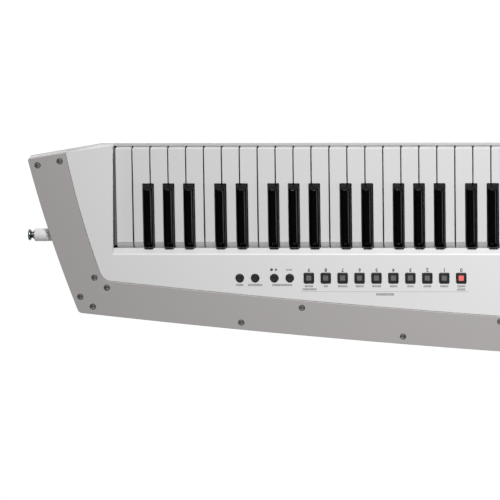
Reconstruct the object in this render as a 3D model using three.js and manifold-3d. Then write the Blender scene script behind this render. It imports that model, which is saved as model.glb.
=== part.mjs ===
import * as THREE from 'three';
import { mergeVertices } from 'three/addons/utils/BufferGeometryUtils.js';
import Module from 'manifold-3d';

const wasm = await Module();
wasm.setup();

// A keytar lying on its back. Millimetres: +X towards the neck, +Y towards the key fronts, +Z up.
// The origin is on the floor, under the middle of the instrument.

// Driving dimensions: the keyboard
const WHITE_COUNT = 29;
const WHITE_PITCH = 23.5;
const KEY_GAP = 1;
const KEYS_LEFT = -507.65;
const KEYS_RIGHT = KEYS_LEFT + WHITE_COUNT * WHITE_PITCH;
const WHITE_LENGTH = 125.9;
const LIP_GAP = 7.5;
const WHITE_HEIGHT = 16;
const WHITE_DIP = 9;
const END_TRIM = 0.8;
const BLACK_REAR_GAP = 0.5;
const HEAD_SHARE = 0.3725;
const BLACK_WIDTH = 12.2;
const BLACK_TOP_WIDTH = 9.8;
const BLACK_RISE = 11;
const BLACK_SKIRT = 10;
const BLACK_SLOPE = 6.6;
const BLACK_REAR_RADIUS = 3.6;
const BLACK_REAR_SLOPE = 5;

// Driving dimensions: the case in plan
const CASE_FRONT = 143.1;
const RAIL_THICKNESS = 3.2;
const KEY_FRONT_GAP = 0.9;
const CORNER_RUN_X = 113.05;
const CORNER_DROP_Y = 16.5;
const SLANT_START_X = 17.3;
const HEEL_RUN_X = 50;
const HEEL_SETBACK = 47;
const END_BULGE = 7.1;
const LOWER_EDGE_SAG = 11.2;
const BELLY_RUN_X = 30;
const BELLY_SETBACK = 111.5;
const BLADE_WIDTH = 47;
const BLADE_END_WIDTH = 45.5;
const BLADE_FLARE = 5.4;
const BLADE_RADIUS = 16;
const BLADE_TAIL_X = 30;
const CHEEK_RIGHT = 32;
const NECK_ROOT_X = 128;
const NECK_ROOT_LOW = -35;
const NECK_ROOT_HIGH = 73;
const NECK_LENGTH = 298;
const NECK_TIP_LOW = -23;
const NECK_TIP_HIGH = 61;
const SMALL_RADIUS = 7;
const TIP_RADIUS = 24;
const BELLY_RADIUS = 46;
const ROOT_RADIUS = 70;

// Driving dimensions: the case in height
const FOOT_HEIGHT = 5;
const LOWER_DEPTH = 47;
const UPPER_DEPTH = 25;
const NECK_DEPTH = 15;
const KEY_BELOW_PANEL = 9;
const RAIL_DROP = 13;
const LIP_RUN = 7.6;
const LIP_DROP = 12;
const BUTTON_ROW_SETBACK = 30.6;
const BLADE_THICKNESS = 5.4;
const BLADE_PROUD = 0.8;
const SKIN = 2.5;
const WALL = 2.4;
const FLOOR = 3;

// Fits
const CLEARANCE = 0.3;
const SLIDE_FIT = 0.4;
const CUT = 2;
const LEAST_RADIUS = 2;

// Levels
const FLOOR_Z = FOOT_HEIGHT;
const PARTING_Z = FLOOR_Z + LOWER_DEPTH;
const PANEL_Z = PARTING_Z + UPPER_DEPTH;
const KEY_Z = PANEL_Z - KEY_BELOW_PANEL;
const LEDGE_Z = PANEL_Z + BLADE_PROUD - BLADE_THICKNESS - CLEARANCE;
const RAIL_Z = KEY_Z - RAIL_DROP;

// Lines across the instrument
const RAIL_INNER = CASE_FRONT - RAIL_THICKNESS;
const KEY_FRONT = RAIL_INNER - KEY_FRONT_GAP;
const STEP_Y = KEY_FRONT - WHITE_LENGTH;
const LIP_Y = STEP_Y - LIP_GAP;
const PANEL_EDGE = LIP_Y - LIP_RUN;
const BUTTON_ROW_Y = PANEL_EDGE - BUTTON_ROW_SETBACK;
const HEEL_Y = BUTTON_ROW_Y - HEEL_SETBACK;
const BELLY_Y = BUTTON_ROW_Y - BELLY_SETBACK;
const BLACK_FRONT = KEY_FRONT - WHITE_LENGTH * HEAD_SHARE;
const BLACK_REAR = LIP_Y + BLACK_REAR_GAP;

// Hinge line of the keys
const HINGE_SETBACK = 41;
const HINGE_DROP = 12;
const ROD_RADIUS = 3;
const HINGE_Y = LIP_Y - HINGE_SETBACK;
const HINGE_Z = KEY_Z - HINGE_DROP;
const DIP_ANGLE = Math.asin(WHITE_DIP / (KEY_FRONT - HINGE_Y));

// Shapes and solids

const point = (x, y) => new THREE.Vector2(x, y);

/** Rounds the corners of an outline. Each corner is [x, y, radius]; the arcs have steps + 1 points. */
function rounded(corners, steps = 3) {
  const outline = [];
  corners.forEach(([x, y, radius], i) => {
    const here = point(x, y);
    const [bx, by] = corners[(i + corners.length - 1) % corners.length];
    const [nx, ny] = corners[(i + 1) % corners.length];
    const back = point(bx, by).sub(here).normalize();
    const ahead = point(nx, ny).sub(here).normalize();
    const half = Math.acos(Math.max(-1, Math.min(1, back.dot(ahead)))) / 2;
    const reach = radius ? radius / Math.tan(half) : 0;
    if (reach < CLEARANCE / 10) {
      outline.push(here);
      return;
    }
    const towards = back.clone().add(ahead).normalize();
    const centre = here.clone().addScaledVector(towards, radius / Math.sin(half));
    const first = here.clone().addScaledVector(back, reach).sub(centre).angle();
    const last = here.clone().addScaledVector(ahead, reach).sub(centre).angle();
    const sweep = Math.atan2(Math.sin(last - first), Math.cos(last - first));
    for (let k = 0; k <= steps; k++) {
      const a = first + (sweep * k) / steps;
      outline.push(point(centre.x + radius * Math.cos(a), centre.y + radius * Math.sin(a)));
    }
  });
  return outline;
}

/** Moves every side of an anticlockwise outline inwards by a distance. */
function inset(outline, distance) {
  const count = outline.length;
  return outline.map((here, i) => {
    const a = here.clone().sub(outline[(i + count - 1) % count]).normalize();
    const b = outline[(i + 1) % count].clone().sub(here).normalize();
    const mitre = point(-a.y - b.y, a.x + b.x);
    return here.clone().addScaledVector(mitre, distance / (1 + a.dot(b)));
  });
}

/** Moves the corners of a case inwards by a distance; hollow arcs grow and full arcs shrink with it. */
function insetCorners(corners, distance) {
  const plain = corners.map(([x, y]) => point(x, y));
  const count = plain.length;
  return inset(plain, distance).map((moved, i) => {
    const radius = corners[i][2];
    const before = plain[i].clone().sub(plain[(i + count - 1) % count]);
    const after = plain[(i + 1) % count].clone().sub(plain[i]);
    const grown = before.cross(after) > 0 ? radius - distance : radius + distance;
    return [moved.x, moved.y, radius ? Math.max(grown, LEAST_RADIUS) : 0];
  });
}

/** A rectangle as an anticlockwise outline. */
const rectangle = (x0, x1, y0, y1) => [point(x0, y0), point(x1, y0), point(x1, y1), point(x0, y1)];

/** A closed solid through matching outlines, each given with its height. */
function loft(levels) {
  const clockwise = THREE.ShapeUtils.isClockWise(levels[0].outline);
  const rings = clockwise ? levels.map(({ outline, z }) => ({ outline: [...outline].reverse(), z })) : levels;
  const count = rings[0].outline.length;
  const positions = rings.flatMap(({ outline, z }) => outline.flatMap((p) => [p.x, p.y, z]));
  const index = [];
  for (let ring = 0; ring < rings.length - 1; ring++) {
    for (let i = 0; i < count; i++) {
      const a = ring * count + i;
      const b = ring * count + ((i + 1) % count);
      index.push(a, b, b + count, a, b + count, a + count);
    }
  }
  const top = (rings.length - 1) * count;
  for (const [a, b, c] of THREE.ShapeUtils.triangulateShape(rings[0].outline, [])) {
    index.push(a, c, b);
  }
  for (const [a, b, c] of THREE.ShapeUtils.triangulateShape(rings[rings.length - 1].outline, [])) {
    index.push(top + a, top + b, top + c);
  }
  const geometry = new THREE.BufferGeometry();
  geometry.setAttribute('position', new THREE.Float32BufferAttribute(positions, 3));
  geometry.setIndex(index);
  return geometry;
}

/** Turns a closed geometry into a solid that can be joined and cut. */
function solid(geometry) {
  const bare = geometry.clone();
  bare.deleteAttribute('normal');
  bare.deleteAttribute('uv');
  const merged = mergeVertices(bare);
  const corners = merged.index.array;
  const triangles = [];
  for (let i = 0; i < corners.length; i += 3) {
    const [a, b, c] = corners.slice(i, i + 3);
    if (a !== b && b !== c && c !== a) triangles.push(a, b, c);
  }
  const places = merged.attributes.position;
  const [a, b, c] = [0, 1, 2].map(() => new THREE.Vector3());
  let volume = 0;
  for (let i = 0; i < triangles.length; i += 3) {
    [a, b, c].forEach((corner, k) => corner.fromBufferAttribute(places, triangles[i + k]));
    volume += a.dot(b.cross(c));
  }
  return new wasm.Manifold(new wasm.Mesh({
    numProp: 3,
    vertProperties: new Float32Array(places.array),
    triVerts: new Uint32Array(volume < 0 ? triangles.reverse() : triangles),
  }));
}

/** Turns a solid back into a geometry for a mesh. */
function geometryOf(body) {
  const mesh = body.getMesh();
  const geometry = new THREE.BufferGeometry();
  geometry.setAttribute('position', new THREE.BufferAttribute(mesh.vertProperties, 3));
  geometry.setIndex(new THREE.BufferAttribute(mesh.triVerts, 1));
  const flat = geometry.toNonIndexed();
  flat.computeVertexNormals();
  return flat;
}

const plate = (outline, z0, z1) => solid(loft([{ outline, z: z0 }, { outline, z: z1 }]));

function block(x0, x1, y0, y1, z0, z1) {
  const box = new THREE.BoxGeometry(x1 - x0, y1 - y0, z1 - z0);
  return solid(box.translate((x0 + x1) / 2, (y0 + y1) / 2, (z0 + z1) / 2));
}

/** An upright round post or hole, with its own radius at each end. */
function post(x, y, z0, z1, radius, topRadius = radius, sides = 12) {
  const cylinder = new THREE.CylinderGeometry(topRadius, radius, z1 - z0, sides);
  return solid(cylinder.rotateX(Math.PI / 2).translate(x, y, (z0 + z1) / 2));
}

/** A profile of [y, z] points carried along X. */
function carriedAlongX(profile, x0, x1) {
  const shape = new THREE.Shape(profile.map(([y, z]) => point(y, z)));
  const bar = new THREE.ExtrudeGeometry(shape, { depth: x1 - x0, bevelEnabled: false });
  const turn = new THREE.Matrix4().makeBasis(
    new THREE.Vector3(0, 1, 0), new THREE.Vector3(0, 0, 1), new THREE.Vector3(1, 0, 0));
  return solid(bar.applyMatrix4(turn).translate(x0, 0, 0));
}

/** A profile of [radius, along] points turned round an axis that runs along X from a place. */
function turnedAlongX(profile, x, y, z, direction, sides = 20) {
  const lathe = new THREE.LatheGeometry(profile.map(([r, along]) => point(r, along)), sides);
  return solid(lathe.rotateZ((-Math.PI / 2) * direction).translate(x, y, z));
}

const joined = (solids) => solids.reduce((all, next) => all.add(next));

const parts = new THREE.Group();

function addPart(name, body, finish) {
  const mesh = new THREE.Mesh(geometryOf(body), new THREE.MeshStandardMaterial(finish));
  mesh.name = name;
  parts.add(mesh);
}

// Finishes
const WHITE_SHELL = { color: 0xdcdbdb, roughness: 0.42, metalness: 0 };
const GREY_BLADE = { color: 0x9a9995, roughness: 0.5, metalness: 0.1 };
const KEY_WHITE = { color: 0xe4e3e3, roughness: 0.3, metalness: 0 };
const KEY_BLACK = { color: 0x0d0d0e, roughness: 0.35, metalness: 0 };
const BUTTON_BLACK = { color: 0x1c1c1d, roughness: 0.5, metalness: 0 };
const CHASSIS_GREY = { color: 0x5c5e60, roughness: 0.6, metalness: 0 };
const CONTACT_RUBBER = { color: 0x3c3d40, roughness: 0.85, metalness: 0 };
const BOARD_GREEN = { color: 0x1f5a38, roughness: 0.5, metalness: 0 };
const PIN_STEEL = { color: 0x8f9494, roughness: 0.3, metalness: 1 };

// The case in plan

const CORNER_X = KEYS_LEFT - CORNER_RUN_X;
const CORNER_Y = CASE_FRONT - CORNER_DROP_Y;
const HEEL_X = KEYS_LEFT - HEEL_RUN_X;
const BELLY_X = KEYS_RIGHT + BELLY_RUN_X;
const NECK_X = KEYS_RIGHT + NECK_ROOT_X;
const TIP_X = NECK_X + NECK_LENGTH;

const endEdge = new THREE.QuadraticBezierCurve(
  point(CORNER_X, CORNER_Y),
  point((CORNER_X + HEEL_X) / 2 - END_BULGE, (CORNER_Y + HEEL_Y) / 2),
  point(HEEL_X, HEEL_Y));
const lowerEdge = new THREE.QuadraticBezierCurve(
  point(HEEL_X, HEEL_Y),
  point((HEEL_X + BELLY_X) / 2, (HEEL_Y + BELLY_Y) / 2 - LOWER_EDGE_SAG),
  point(BELLY_X, BELLY_Y));
const END_STEPS = 5;
const LOWER_STEPS = 9;

/** The corners of the case, from the top corner of its end round past the belly and the neck. */
function caseCorners(smallRadius) {
  const along = (curve, steps) => curve.getPoints(steps).slice(1, steps).map((p) => [p.x, p.y, 0]);
  return [
    [CORNER_X, CORNER_Y, smallRadius / 2],
    ...along(endEdge, END_STEPS),
    [HEEL_X, HEEL_Y, smallRadius],
    ...along(lowerEdge, LOWER_STEPS),
    [BELLY_X, BELLY_Y, BELLY_RADIUS],
    [NECK_X, NECK_ROOT_LOW, ROOT_RADIUS],
    [TIP_X, NECK_TIP_LOW, TIP_RADIUS],
    [TIP_X, NECK_TIP_HIGH, TIP_RADIUS],
    [NECK_X, NECK_ROOT_HIGH, ROOT_RADIUS],
    [KEYS_RIGHT + CHEEK_RIGHT, CASE_FRONT, TIP_RADIUS],
    [KEYS_LEFT - SLANT_START_X, CASE_FRONT, 0],
  ];
}

const caseOutline = rounded(caseCorners(SMALL_RADIUS));
const shellOutline = rounded(caseCorners(0));

/** A place beside an edge of the case, at a distance inwards. */
function beside(edge, along, distance) {
  const tangent = edge.getTangent(along);
  return edge.getPoint(along).addScaledVector(point(-tangent.y, tangent.x), distance);
}

/** The place where the line through a and b meets the line through c and d. */
function meeting(a, b, c, d) {
  const first = b.clone().sub(a);
  const second = d.clone().sub(c);
  return a.clone().addScaledVector(first, c.clone().sub(a).cross(second) / first.cross(second));
}

/** The panel side of the blade and all that lies above it; the blade widens towards the corner of its end. */
function panelOutline(gap) {
  const width = (along) => BLADE_END_WIDTH + BLADE_FLARE * (1 - along) ** 2 + gap;
  const end = Array.from({ length: END_STEPS }, (_, i) => beside(endEdge, i / END_STEPS, width(i / END_STEPS)));
  const lower = Array.from({ length: LOWER_STEPS - 2 }, (_, i) => (
    beside(lowerEdge, (i + 1) / LOWER_STEPS, BLADE_WIDTH + gap)));
  const corner = meeting(...end.slice(-2), lower[1], lower[0]);
  const start = end[0].clone().add(end[0]).sub(end[1]);
  const sharp = (place) => [place.x, place.y, 0];
  const far = TIP_X + BLADE_WIDTH;
  return rounded([
    sharp(start),
    ...end.map(sharp),
    [corner.x, corner.y, BLADE_RADIUS - gap],
    ...lower.map(sharp),
    [BELLY_X + BLADE_TAIL_X, BELLY_Y - BLADE_TAIL_X, 0],
    [far, BELLY_Y - BLADE_TAIL_X, 0],
    [far, start.y, 0],
  ], 5);
}

const caseBlock = (z0, z1, distance = 0) => plate(inset(caseOutline, distance), z0, z1);
const panelBlock = (gap, z0, z1) => plate(panelOutline(gap), z0, z1);

// Keyboard opening

const CHEEK_DRAFT = 3.2;
const CHEEK_GAP = 0.5;
const openingLeft = KEYS_LEFT - CHEEK_GAP;
const openingRight = KEYS_RIGHT + CHEEK_GAP;
const PAST_FRONT = CASE_FRONT + CUT;

/** The space that the keys fill: between the cheeks, and up the slope of the panel's lip at the back. */
function keyOpening(grow) {
  const across = plate([
    point(openingLeft - CHEEK_DRAFT - grow, HINGE_Y),
    point(openingRight + CHEEK_DRAFT + grow, HINGE_Y),
    point(openingRight + grow, PAST_FRONT),
    point(openingLeft - grow, PAST_FRONT),
  ], PARTING_Z - CUT, PANEL_Z + CUT);
  const slope = LIP_RUN / LIP_DROP;
  const lipLow = PANEL_Z - LIP_DROP;
  const over = carriedAlongX([
    [PAST_FRONT, RAIL_Z],
    [PAST_FRONT, PANEL_Z + CUT],
    [PANEL_EDGE - CUT * slope, PANEL_Z + CUT],
    [LIP_Y, lipLow],
    [LIP_Y, PARTING_Z - CUT],
    [RAIL_INNER, PARTING_Z - CUT],
    [RAIL_INNER, RAIL_Z],
  ], CORNER_X, NECK_X);
  return across.intersect(over);
}

// Controls of the panel

const BUTTON_TRAVEL = 1.2;
const BUTTON_PROUD = 1.6;
const BUTTON_FLANGE = 1.4;
const BUTTON_FLANGE_OVER = 1.5;
const BUTTON_STEM = 2.2;
const BUTTON_STEM_SHARE = 0.4;
const SQUARE_COUNT = 10;
const SQUARE_PITCH = 22.26;
const SQUARE_SIDE = 12.8;
const SQUARE_CROWN = 0.7;
const SQUARE_RUN_X = 254.35;
const SQUARE_FIRST_X = KEYS_LEFT + SQUARE_RUN_X;
const ROUND_RADIUS = 5.2;
const ROUND_RUN_X = 163.22;
const ROUND_FIRST_X = KEYS_LEFT + ROUND_RUN_X;
const ROUND_STEPS = [0, 20.27, 45.4, 65.8];
const roundCentres = ROUND_STEPS.map((step) => ROUND_FIRST_X + step);
const squareCentres = Array.from({ length: SQUARE_COUNT }, (_, i) => SQUARE_FIRST_X + i * SQUARE_PITCH);

const SKIN_UNDER = PANEL_Z - SKIN;
const FLANGE_Z = SKIN_UNDER - CLEARANCE;
const STEM_Z = FLANGE_Z - BUTTON_FLANGE - BUTTON_STEM;

// Control board under the panel
const BOARD_THICKNESS = 1.6;
const SWITCH_HEIGHT = 2.6;
const SWITCH_SIDE = 6;
const BOARD_MARGIN = 16;
const BOARD_HALF_DEPTH = 13;
const BOARD_POST_RADIUS = 3;
const BOARD_Z = STEM_Z - BUTTON_TRAVEL - CLEARANCE - SWITCH_HEIGHT - BOARD_THICKNESS;
const BOARD_LEFT = ROUND_FIRST_X - BOARD_MARGIN;
const BOARD_RIGHT = SQUARE_FIRST_X + (SQUARE_COUNT - 1) * SQUARE_PITCH + BOARD_MARGIN;
const boardPosts = [BOARD_LEFT + BOARD_POST_RADIUS, BOARD_RIGHT - BOARD_POST_RADIUS];

// Controls of the neck
const BAR_SHARE = 0.5034;
const BAR_START_SHARE = 0.1745;
const BAR_WIDTH = 13;
const BAR_PROUD = 2.4;
const BAR_Y = 45;
const BAR_PIN_RADIUS = 1.6;
const BAR_PIN_LENGTH = 3;
const BAR_PIN_INSET = 4;
const BAR_LEFT = NECK_X + NECK_LENGTH * BAR_START_SHARE;
const BAR_RIGHT = BAR_LEFT + NECK_LENGTH * BAR_SHARE;
const BAR_LOW = BAR_Y - BAR_WIDTH / 2;
const BAR_HIGH = BAR_Y + BAR_WIDTH / 2;
const BAR_PIN_Z = PANEL_Z - SKIN - BAR_PIN_RADIUS;
const RIBBON_WIDTH = 18;
const RIBBON_DEPTH = 0.6;
const RIBBON_Y = 13;
const WINDOW_WIDTH = 62;
const WINDOW_HEIGHT = 26;
const WINDOW_X = 44;
const WINDOW_Y = 33;

// Screws of the blade: each as a share of its edge's length and a share of the blade's width inwards
const SCREW_HEAD_RADIUS = 4.1;
const SCREW_HEAD_DEPTH = 2.4;
const SCREW_HOLE_RADIUS = 1.8;
const END_SCREW_SHARES = [
  [0.054, 0.2265],
  [0.0625, 0.858],
  [0.8303, 0.7769],
  [0.9127, 0.2054],
];
const LOWER_SCREW_SHARES = [
  [0.0231, 0.215],
  [0.0442, 0.8],
  [0.2805, 0.1995],
  [0.3826, 0.786],
  [0.56, 0.2115],
  [0.7251, 0.8476],
  [0.9053, 0.2198],
];

/** The places of the blade's screws along one of its edges. */
const screwsAlong = (edge, shares) => (
  shares.map(([along, inwards]) => beside(edge, along, inwards * BLADE_WIDTH)));

const bladeScrews = [
  ...screwsAlong(endEdge, END_SCREW_SHARES),
  ...screwsAlong(lowerEdge, LOWER_SCREW_SHARES),
];

// Upper case

function barSlot(z0, z1) {
  const fit = SLIDE_FIT;
  return block(BAR_LEFT - fit, BAR_RIGHT + fit, BAR_LOW - fit, BAR_HIGH + fit, z0, z1);
}

const screwHole = (x, y, z0, z1) => post(x, y, z0, z1, SCREW_HOLE_RADIUS, SCREW_HOLE_RADIUS, 6);

/** The hinge pin of the bar, or its hole, across the neck near the bar's body end. */
function barPin(gap) {
  const radius = BAR_PIN_RADIUS + gap;
  const pin = new THREE.CylinderGeometry(radius, radius, BAR_WIDTH + 2 * (BAR_PIN_LENGTH + gap), 12);
  return solid(pin.translate(BAR_LEFT + BAR_PIN_INSET, BAR_Y, BAR_PIN_Z));
}

function topCase() {
  let shell = caseBlock(PARTING_Z + CLEARANCE, PANEL_Z);
  const roomy = inset(shellOutline, WALL);
  shell = shell.subtract(plate(roomy, PARTING_Z - CUT, LEDGE_Z - SKIN));
  const underPanel = panelBlock(WALL + SKIN, LEDGE_Z - SKIN - CUT, SKIN_UNDER);
  shell = shell.subtract(underPanel.intersect(plate(roomy, PARTING_Z, PANEL_Z)));
  const ledge = caseBlock(LEDGE_Z, PANEL_Z + CUT, -CUT);
  shell = shell.subtract(ledge.subtract(panelBlock(SLIDE_FIT, PARTING_Z, PANEL_Z + 2 * CUT)));
  const lip = carriedAlongX([
    [LIP_Y, PANEL_Z - LIP_DROP],
    [PANEL_EDGE, PANEL_Z],
    [PANEL_EDGE - 2 * SKIN, PANEL_Z],
    [PANEL_EDGE - 2 * SKIN, SKIN_UNDER],
    [LIP_Y - SKIN, PANEL_Z - LIP_DROP],
  ], openingLeft - CHEEK_DRAFT - WALL, openingRight + CHEEK_DRAFT + WALL);
  shell = shell.add(lip);
  for (const side of [-1, 1]) {
    const inner = side < 0 ? openingLeft : openingRight;
    const wall = [
      point(inner + side * (CHEEK_DRAFT + WALL), PANEL_EDGE - SKIN),
      point(inner + side * CHEEK_DRAFT, PANEL_EDGE - SKIN),
      point(inner, CASE_FRONT - WALL / 2),
      point(inner + side * WALL, CASE_FRONT - WALL / 2),
    ];
    shell = shell.add(plate(wall, PARTING_Z + CLEARANCE, PANEL_Z - SKIN / 2));
  }
  shell = shell.subtract(keyOpening(0));
  for (const x of squareCentres) {
    const half = SQUARE_SIDE / 2 + SLIDE_FIT;
    const hole = rectangle(x - half, x + half, BUTTON_ROW_Y - half, BUTTON_ROW_Y + half);
    shell = shell.subtract(plate(hole, PARTING_Z, PANEL_Z + CUT));
  }
  for (const x of roundCentres) {
    shell = shell.subtract(post(x, BUTTON_ROW_Y, PARTING_Z, PANEL_Z + CUT, ROUND_RADIUS + SLIDE_FIT));
  }
  for (const x of boardPosts) {
    const foot = BOARD_Z + BOARD_THICKNESS + CLEARANCE;
    shell = shell.add(post(x, BUTTON_ROW_Y, foot, SKIN_UNDER + SKIN / 2, BOARD_POST_RADIUS));
  }
  for (const { x, y } of bladeScrews) {
    shell = shell.subtract(screwHole(x, y, LEDGE_Z - CUT - SKIN, PANEL_Z));
  }
  const cheek = BAR_PIN_LENGTH + SKIN;
  const saddle = block(BAR_LEFT - SKIN, BAR_LEFT + 3 * BAR_PIN_INSET, BAR_LOW - cheek, BAR_HIGH + cheek,
    BAR_PIN_Z - 2 * BAR_PIN_RADIUS, SKIN_UNDER + SKIN / 2);
  shell = shell.add(saddle).subtract(barSlot(PARTING_Z, PANEL_Z + CUT)).subtract(barPin(CLEARANCE));
  shell = shell.subtract(block(BAR_LEFT, BAR_RIGHT, RIBBON_Y - RIBBON_WIDTH / 2, RIBBON_Y + RIBBON_WIDTH / 2,
    PANEL_Z - RIBBON_DEPTH, PANEL_Z + CUT));
  const windowX = KEYS_RIGHT + WINDOW_X;
  shell = shell.subtract(block(windowX, windowX + WINDOW_WIDTH, WINDOW_Y - WINDOW_HEIGHT / 2,
    WINDOW_Y + WINDOW_HEIGHT / 2, PANEL_Z - RIBBON_DEPTH, PANEL_Z + CUT));
  return shell;
}

addPart('top_case', topCase(), WHITE_SHELL);

// Lower case

const TUMBLE = 24;
const NECK_TUMBLE = 19;
const HULL_SHARES = [[1, 1], [0.88, 0.6], [0.58, 0.3], [0.22, 0.075], [0, 0]];
const RAMP_LOW_X = 20;
const RAMP_HIGH_X = 24;
const RIB_THICKNESS = 2.4;
const RIB_COUNT = 7;
const BOSS_RADIUS = 4;
const BOSS_COUNT = 5;
const BOSS_SETBACK = 27;
const BOSS_Y = HINGE_Y - BOSS_SETBACK;
const FOOT_RADIUS = 10;
const FOOT_INSET = 62;
const FOOT_HIGH_Y = 91;
const FOOT_SETBACK = 20.4;
const FOOT_LOW_Y = BUTTON_ROW_Y - FOOT_SETBACK;

// Key bed levels
const UNDER_KEY_ROOM = 2.5;
const CHASSIS_THICKNESS = 2.5;
const CHASSIS_Z = KEY_Z - WHITE_HEIGHT - WHITE_DIP - UNDER_KEY_ROOM;
const CHASSIS_UNDER = CHASSIS_Z - CHASSIS_THICKNESS;
const CHASSIS_SETBACK = 6;
const CHASSIS_BACK = 12;
const CHASSIS_FRONT = KEY_FRONT - CHASSIS_SETBACK;
const CHASSIS_REAR = HINGE_Y - CHASSIS_BACK;
const FLANGE_DROP = 6;

// Battery bay
const BAY_LENGTH = 124;
const BAY_WIDTH = 62;
const BAY_DEPTH = 20;
const BAY_WALL = 4;
const BAY_X = -150;
const BAY_Y = 3;
const COVER_THICKNESS = 2.2;
const COVER_LEDGE = 3;
const COVER_TAB = 12;

// Jack bay on the lower side
const JACK_BAY_LENGTH = 112;
const JACK_BAY_HEIGHT = 20;
const JACK_BAY_X = -462;
const JACK_BAY_SETBACK = 40.4;
const JACK_BAY_BACK = BUTTON_ROW_Y - JACK_BAY_SETBACK;
const JACK_BAY_TOP = 8;

// Strap pins
const PIN_BOSS_RADIUS = 8.5;
const PIN_BOSS_EDGE = 0.9;
const PIN_DROP = 9;
const PIN_HEAD_RADIUS = 7.5;
const PIN_HEAD_THICKNESS = 4.8;
const PIN_NECK_RADIUS = 4;
const PIN_NECK_LENGTH = 3;
const PIN_STEM_RADIUS = 2.4;
const PIN_STEM_LENGTH = 12;
const PIN_END_SHARE = 0.5255;
const PIN_END_REACH = 27.7;
const PIN_TIP_REACH = 19;
const pinEnd = endEdge.getPoint(PIN_END_SHARE);
const PIN_END_X = pinEnd.x - PIN_END_REACH;
const PIN_END_Y = pinEnd.y;
const PIN_TIP_X = TIP_X + PIN_TIP_REACH;
const PIN_TIP_Y = (NECK_TIP_LOW + NECK_TIP_HIGH) / 2;
const PIN_Z = PARTING_Z - PIN_DROP;

/** A moulded hull under the case's outline: its sides lean in more and more towards the bottom. */
function hull(depth, tumble, wall, floor) {
  return solid(loft(HULL_SHARES.map(([down, lean]) => ({
    outline: rounded(insetCorners(caseCorners(SMALL_RADIUS), wall + lean * tumble)),
    z: down ? PARTING_Z - (depth - floor) * down : PARTING_Z + floor,
  }))));
}

/** The body's part of the case, cut by a ramp where the neck begins. */
function bodySpace(gap) {
  const low = BELLY_X + RAMP_LOW_X - gap;
  const high = NECK_X + RAMP_HIGH_X - gap;
  const side = (x) => rectangle(CORNER_X - CUT, x, BELLY_Y - CUT, CASE_FRONT + CUT);
  return solid(loft([{ outline: side(low), z: FLOOR_Z - CUT }, { outline: side(high), z: PARTING_Z + CUT }]));
}

const caseInside = (wall, floor) => hull(NECK_DEPTH, NECK_TUMBLE, wall + CLEARANCE, floor)
  .add(hull(LOWER_DEPTH, TUMBLE, wall, floor).intersect(bodySpace(wall)));

const bayOutline = (grow) => rectangle(
  BAY_X - grow, BAY_X + BAY_LENGTH + grow, BAY_Y - grow, BAY_Y + BAY_WIDTH + grow);

function strapBoss(x, y, length, direction) {
  const radius = PIN_BOSS_RADIUS;
  const edge = PIN_BOSS_EDGE;
  const profile = [[0, 0], [radius - edge, 0], [radius, edge], [radius, length], [0, length]];
  return turnedAlongX(profile, x, y, PIN_Z, direction, 18);
}

function strapBore(x, y, direction) {
  const radius = PIN_STEM_RADIUS + CLEARANCE;
  const depth = PIN_STEM_LENGTH + CLEARANCE;
  return turnedAlongX([[0, -CUT], [radius, -CUT], [radius, depth], [0, depth]], x, y, PIN_Z, direction, 10);
}

function bottomCase() {
  const inside = [plate(bayOutline(BAY_WALL), FLOOR_Z, FLOOR_Z + BAY_DEPTH + FLOOR)];
  for (let i = 0; i < RIB_COUNT; i++) {
    const x = KEYS_LEFT + ((KEYS_RIGHT - KEYS_LEFT) * i) / (RIB_COUNT - 1);
    inside.push(block(x - RIB_THICKNESS / 2, x + RIB_THICKNESS / 2, CHASSIS_REAR + 2 * RIB_THICKNESS,
      CHASSIS_FRONT - 2 * RIB_THICKNESS, FLOOR_Z, CHASSIS_UNDER - CLEARANCE));
  }
  for (let i = 0; i < BOSS_COUNT; i++) {
    const x = KEYS_LEFT + ((KEYS_RIGHT - KEYS_LEFT) * (i + 1 / 2)) / BOSS_COUNT;
    inside.push(post(x, BOSS_Y, FLOOR_Z, PARTING_Z - CLEARANCE, BOSS_RADIUS, BOSS_RADIUS, 8));
  }
  const jackTop = PARTING_Z - JACK_BAY_TOP;
  inside.push(block(JACK_BAY_X - WALL, JACK_BAY_X + JACK_BAY_LENGTH + WALL, BELLY_Y, JACK_BAY_BACK + WALL,
    jackTop - JACK_BAY_HEIGHT - WALL, jackTop + WALL));
  const wallLine = pinEnd.x + 2 * WALL;
  const tipLength = PIN_TIP_X - TIP_X + TUMBLE / 2;
  let shell = caseInside(0, 0).subtract(caseInside(WALL, FLOOR));
  shell = shell.add(joined(inside).intersect(caseInside(WALL / 2, FLOOR / 2)));
  shell = shell.add(strapBoss(PIN_END_X, PIN_END_Y, wallLine - PIN_END_X, 1));
  shell = shell.add(strapBoss(PIN_TIP_X, PIN_TIP_Y, tipLength, -1));
  shell = shell.subtract(strapBore(PIN_END_X, PIN_END_Y, 1)).subtract(strapBore(PIN_TIP_X, PIN_TIP_Y, -1));
  shell = shell.subtract(plate(bayOutline(0), FLOOR_Z - CUT, FLOOR_Z + BAY_DEPTH));
  const coverTop = FLOOR_Z + COVER_THICKNESS + CLEARANCE;
  shell = shell.subtract(plate(bayOutline(COVER_LEDGE), FLOOR_Z - CUT, coverTop));
  shell = shell.subtract(block(JACK_BAY_X, JACK_BAY_X + JACK_BAY_LENGTH, BELLY_Y - CUT, JACK_BAY_BACK,
    jackTop - JACK_BAY_HEIGHT, jackTop));
  for (const x of [KEYS_LEFT + FOOT_INSET / 2, KEYS_RIGHT - FOOT_INSET]) {
    for (const y of [FOOT_LOW_Y, FOOT_HIGH_Y]) {
      shell = shell.add(post(x, y, 0, FLOOR_Z + FLOOR / 2, FOOT_RADIUS - FLOOR / 2, FOOT_RADIUS));
    }
  }
  return shell;
}

addPart('bottom_case', bottomCase(), WHITE_SHELL);

// Blade: one guard round the end and along the lower side

const BLADE_EDGE = 1;

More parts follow.
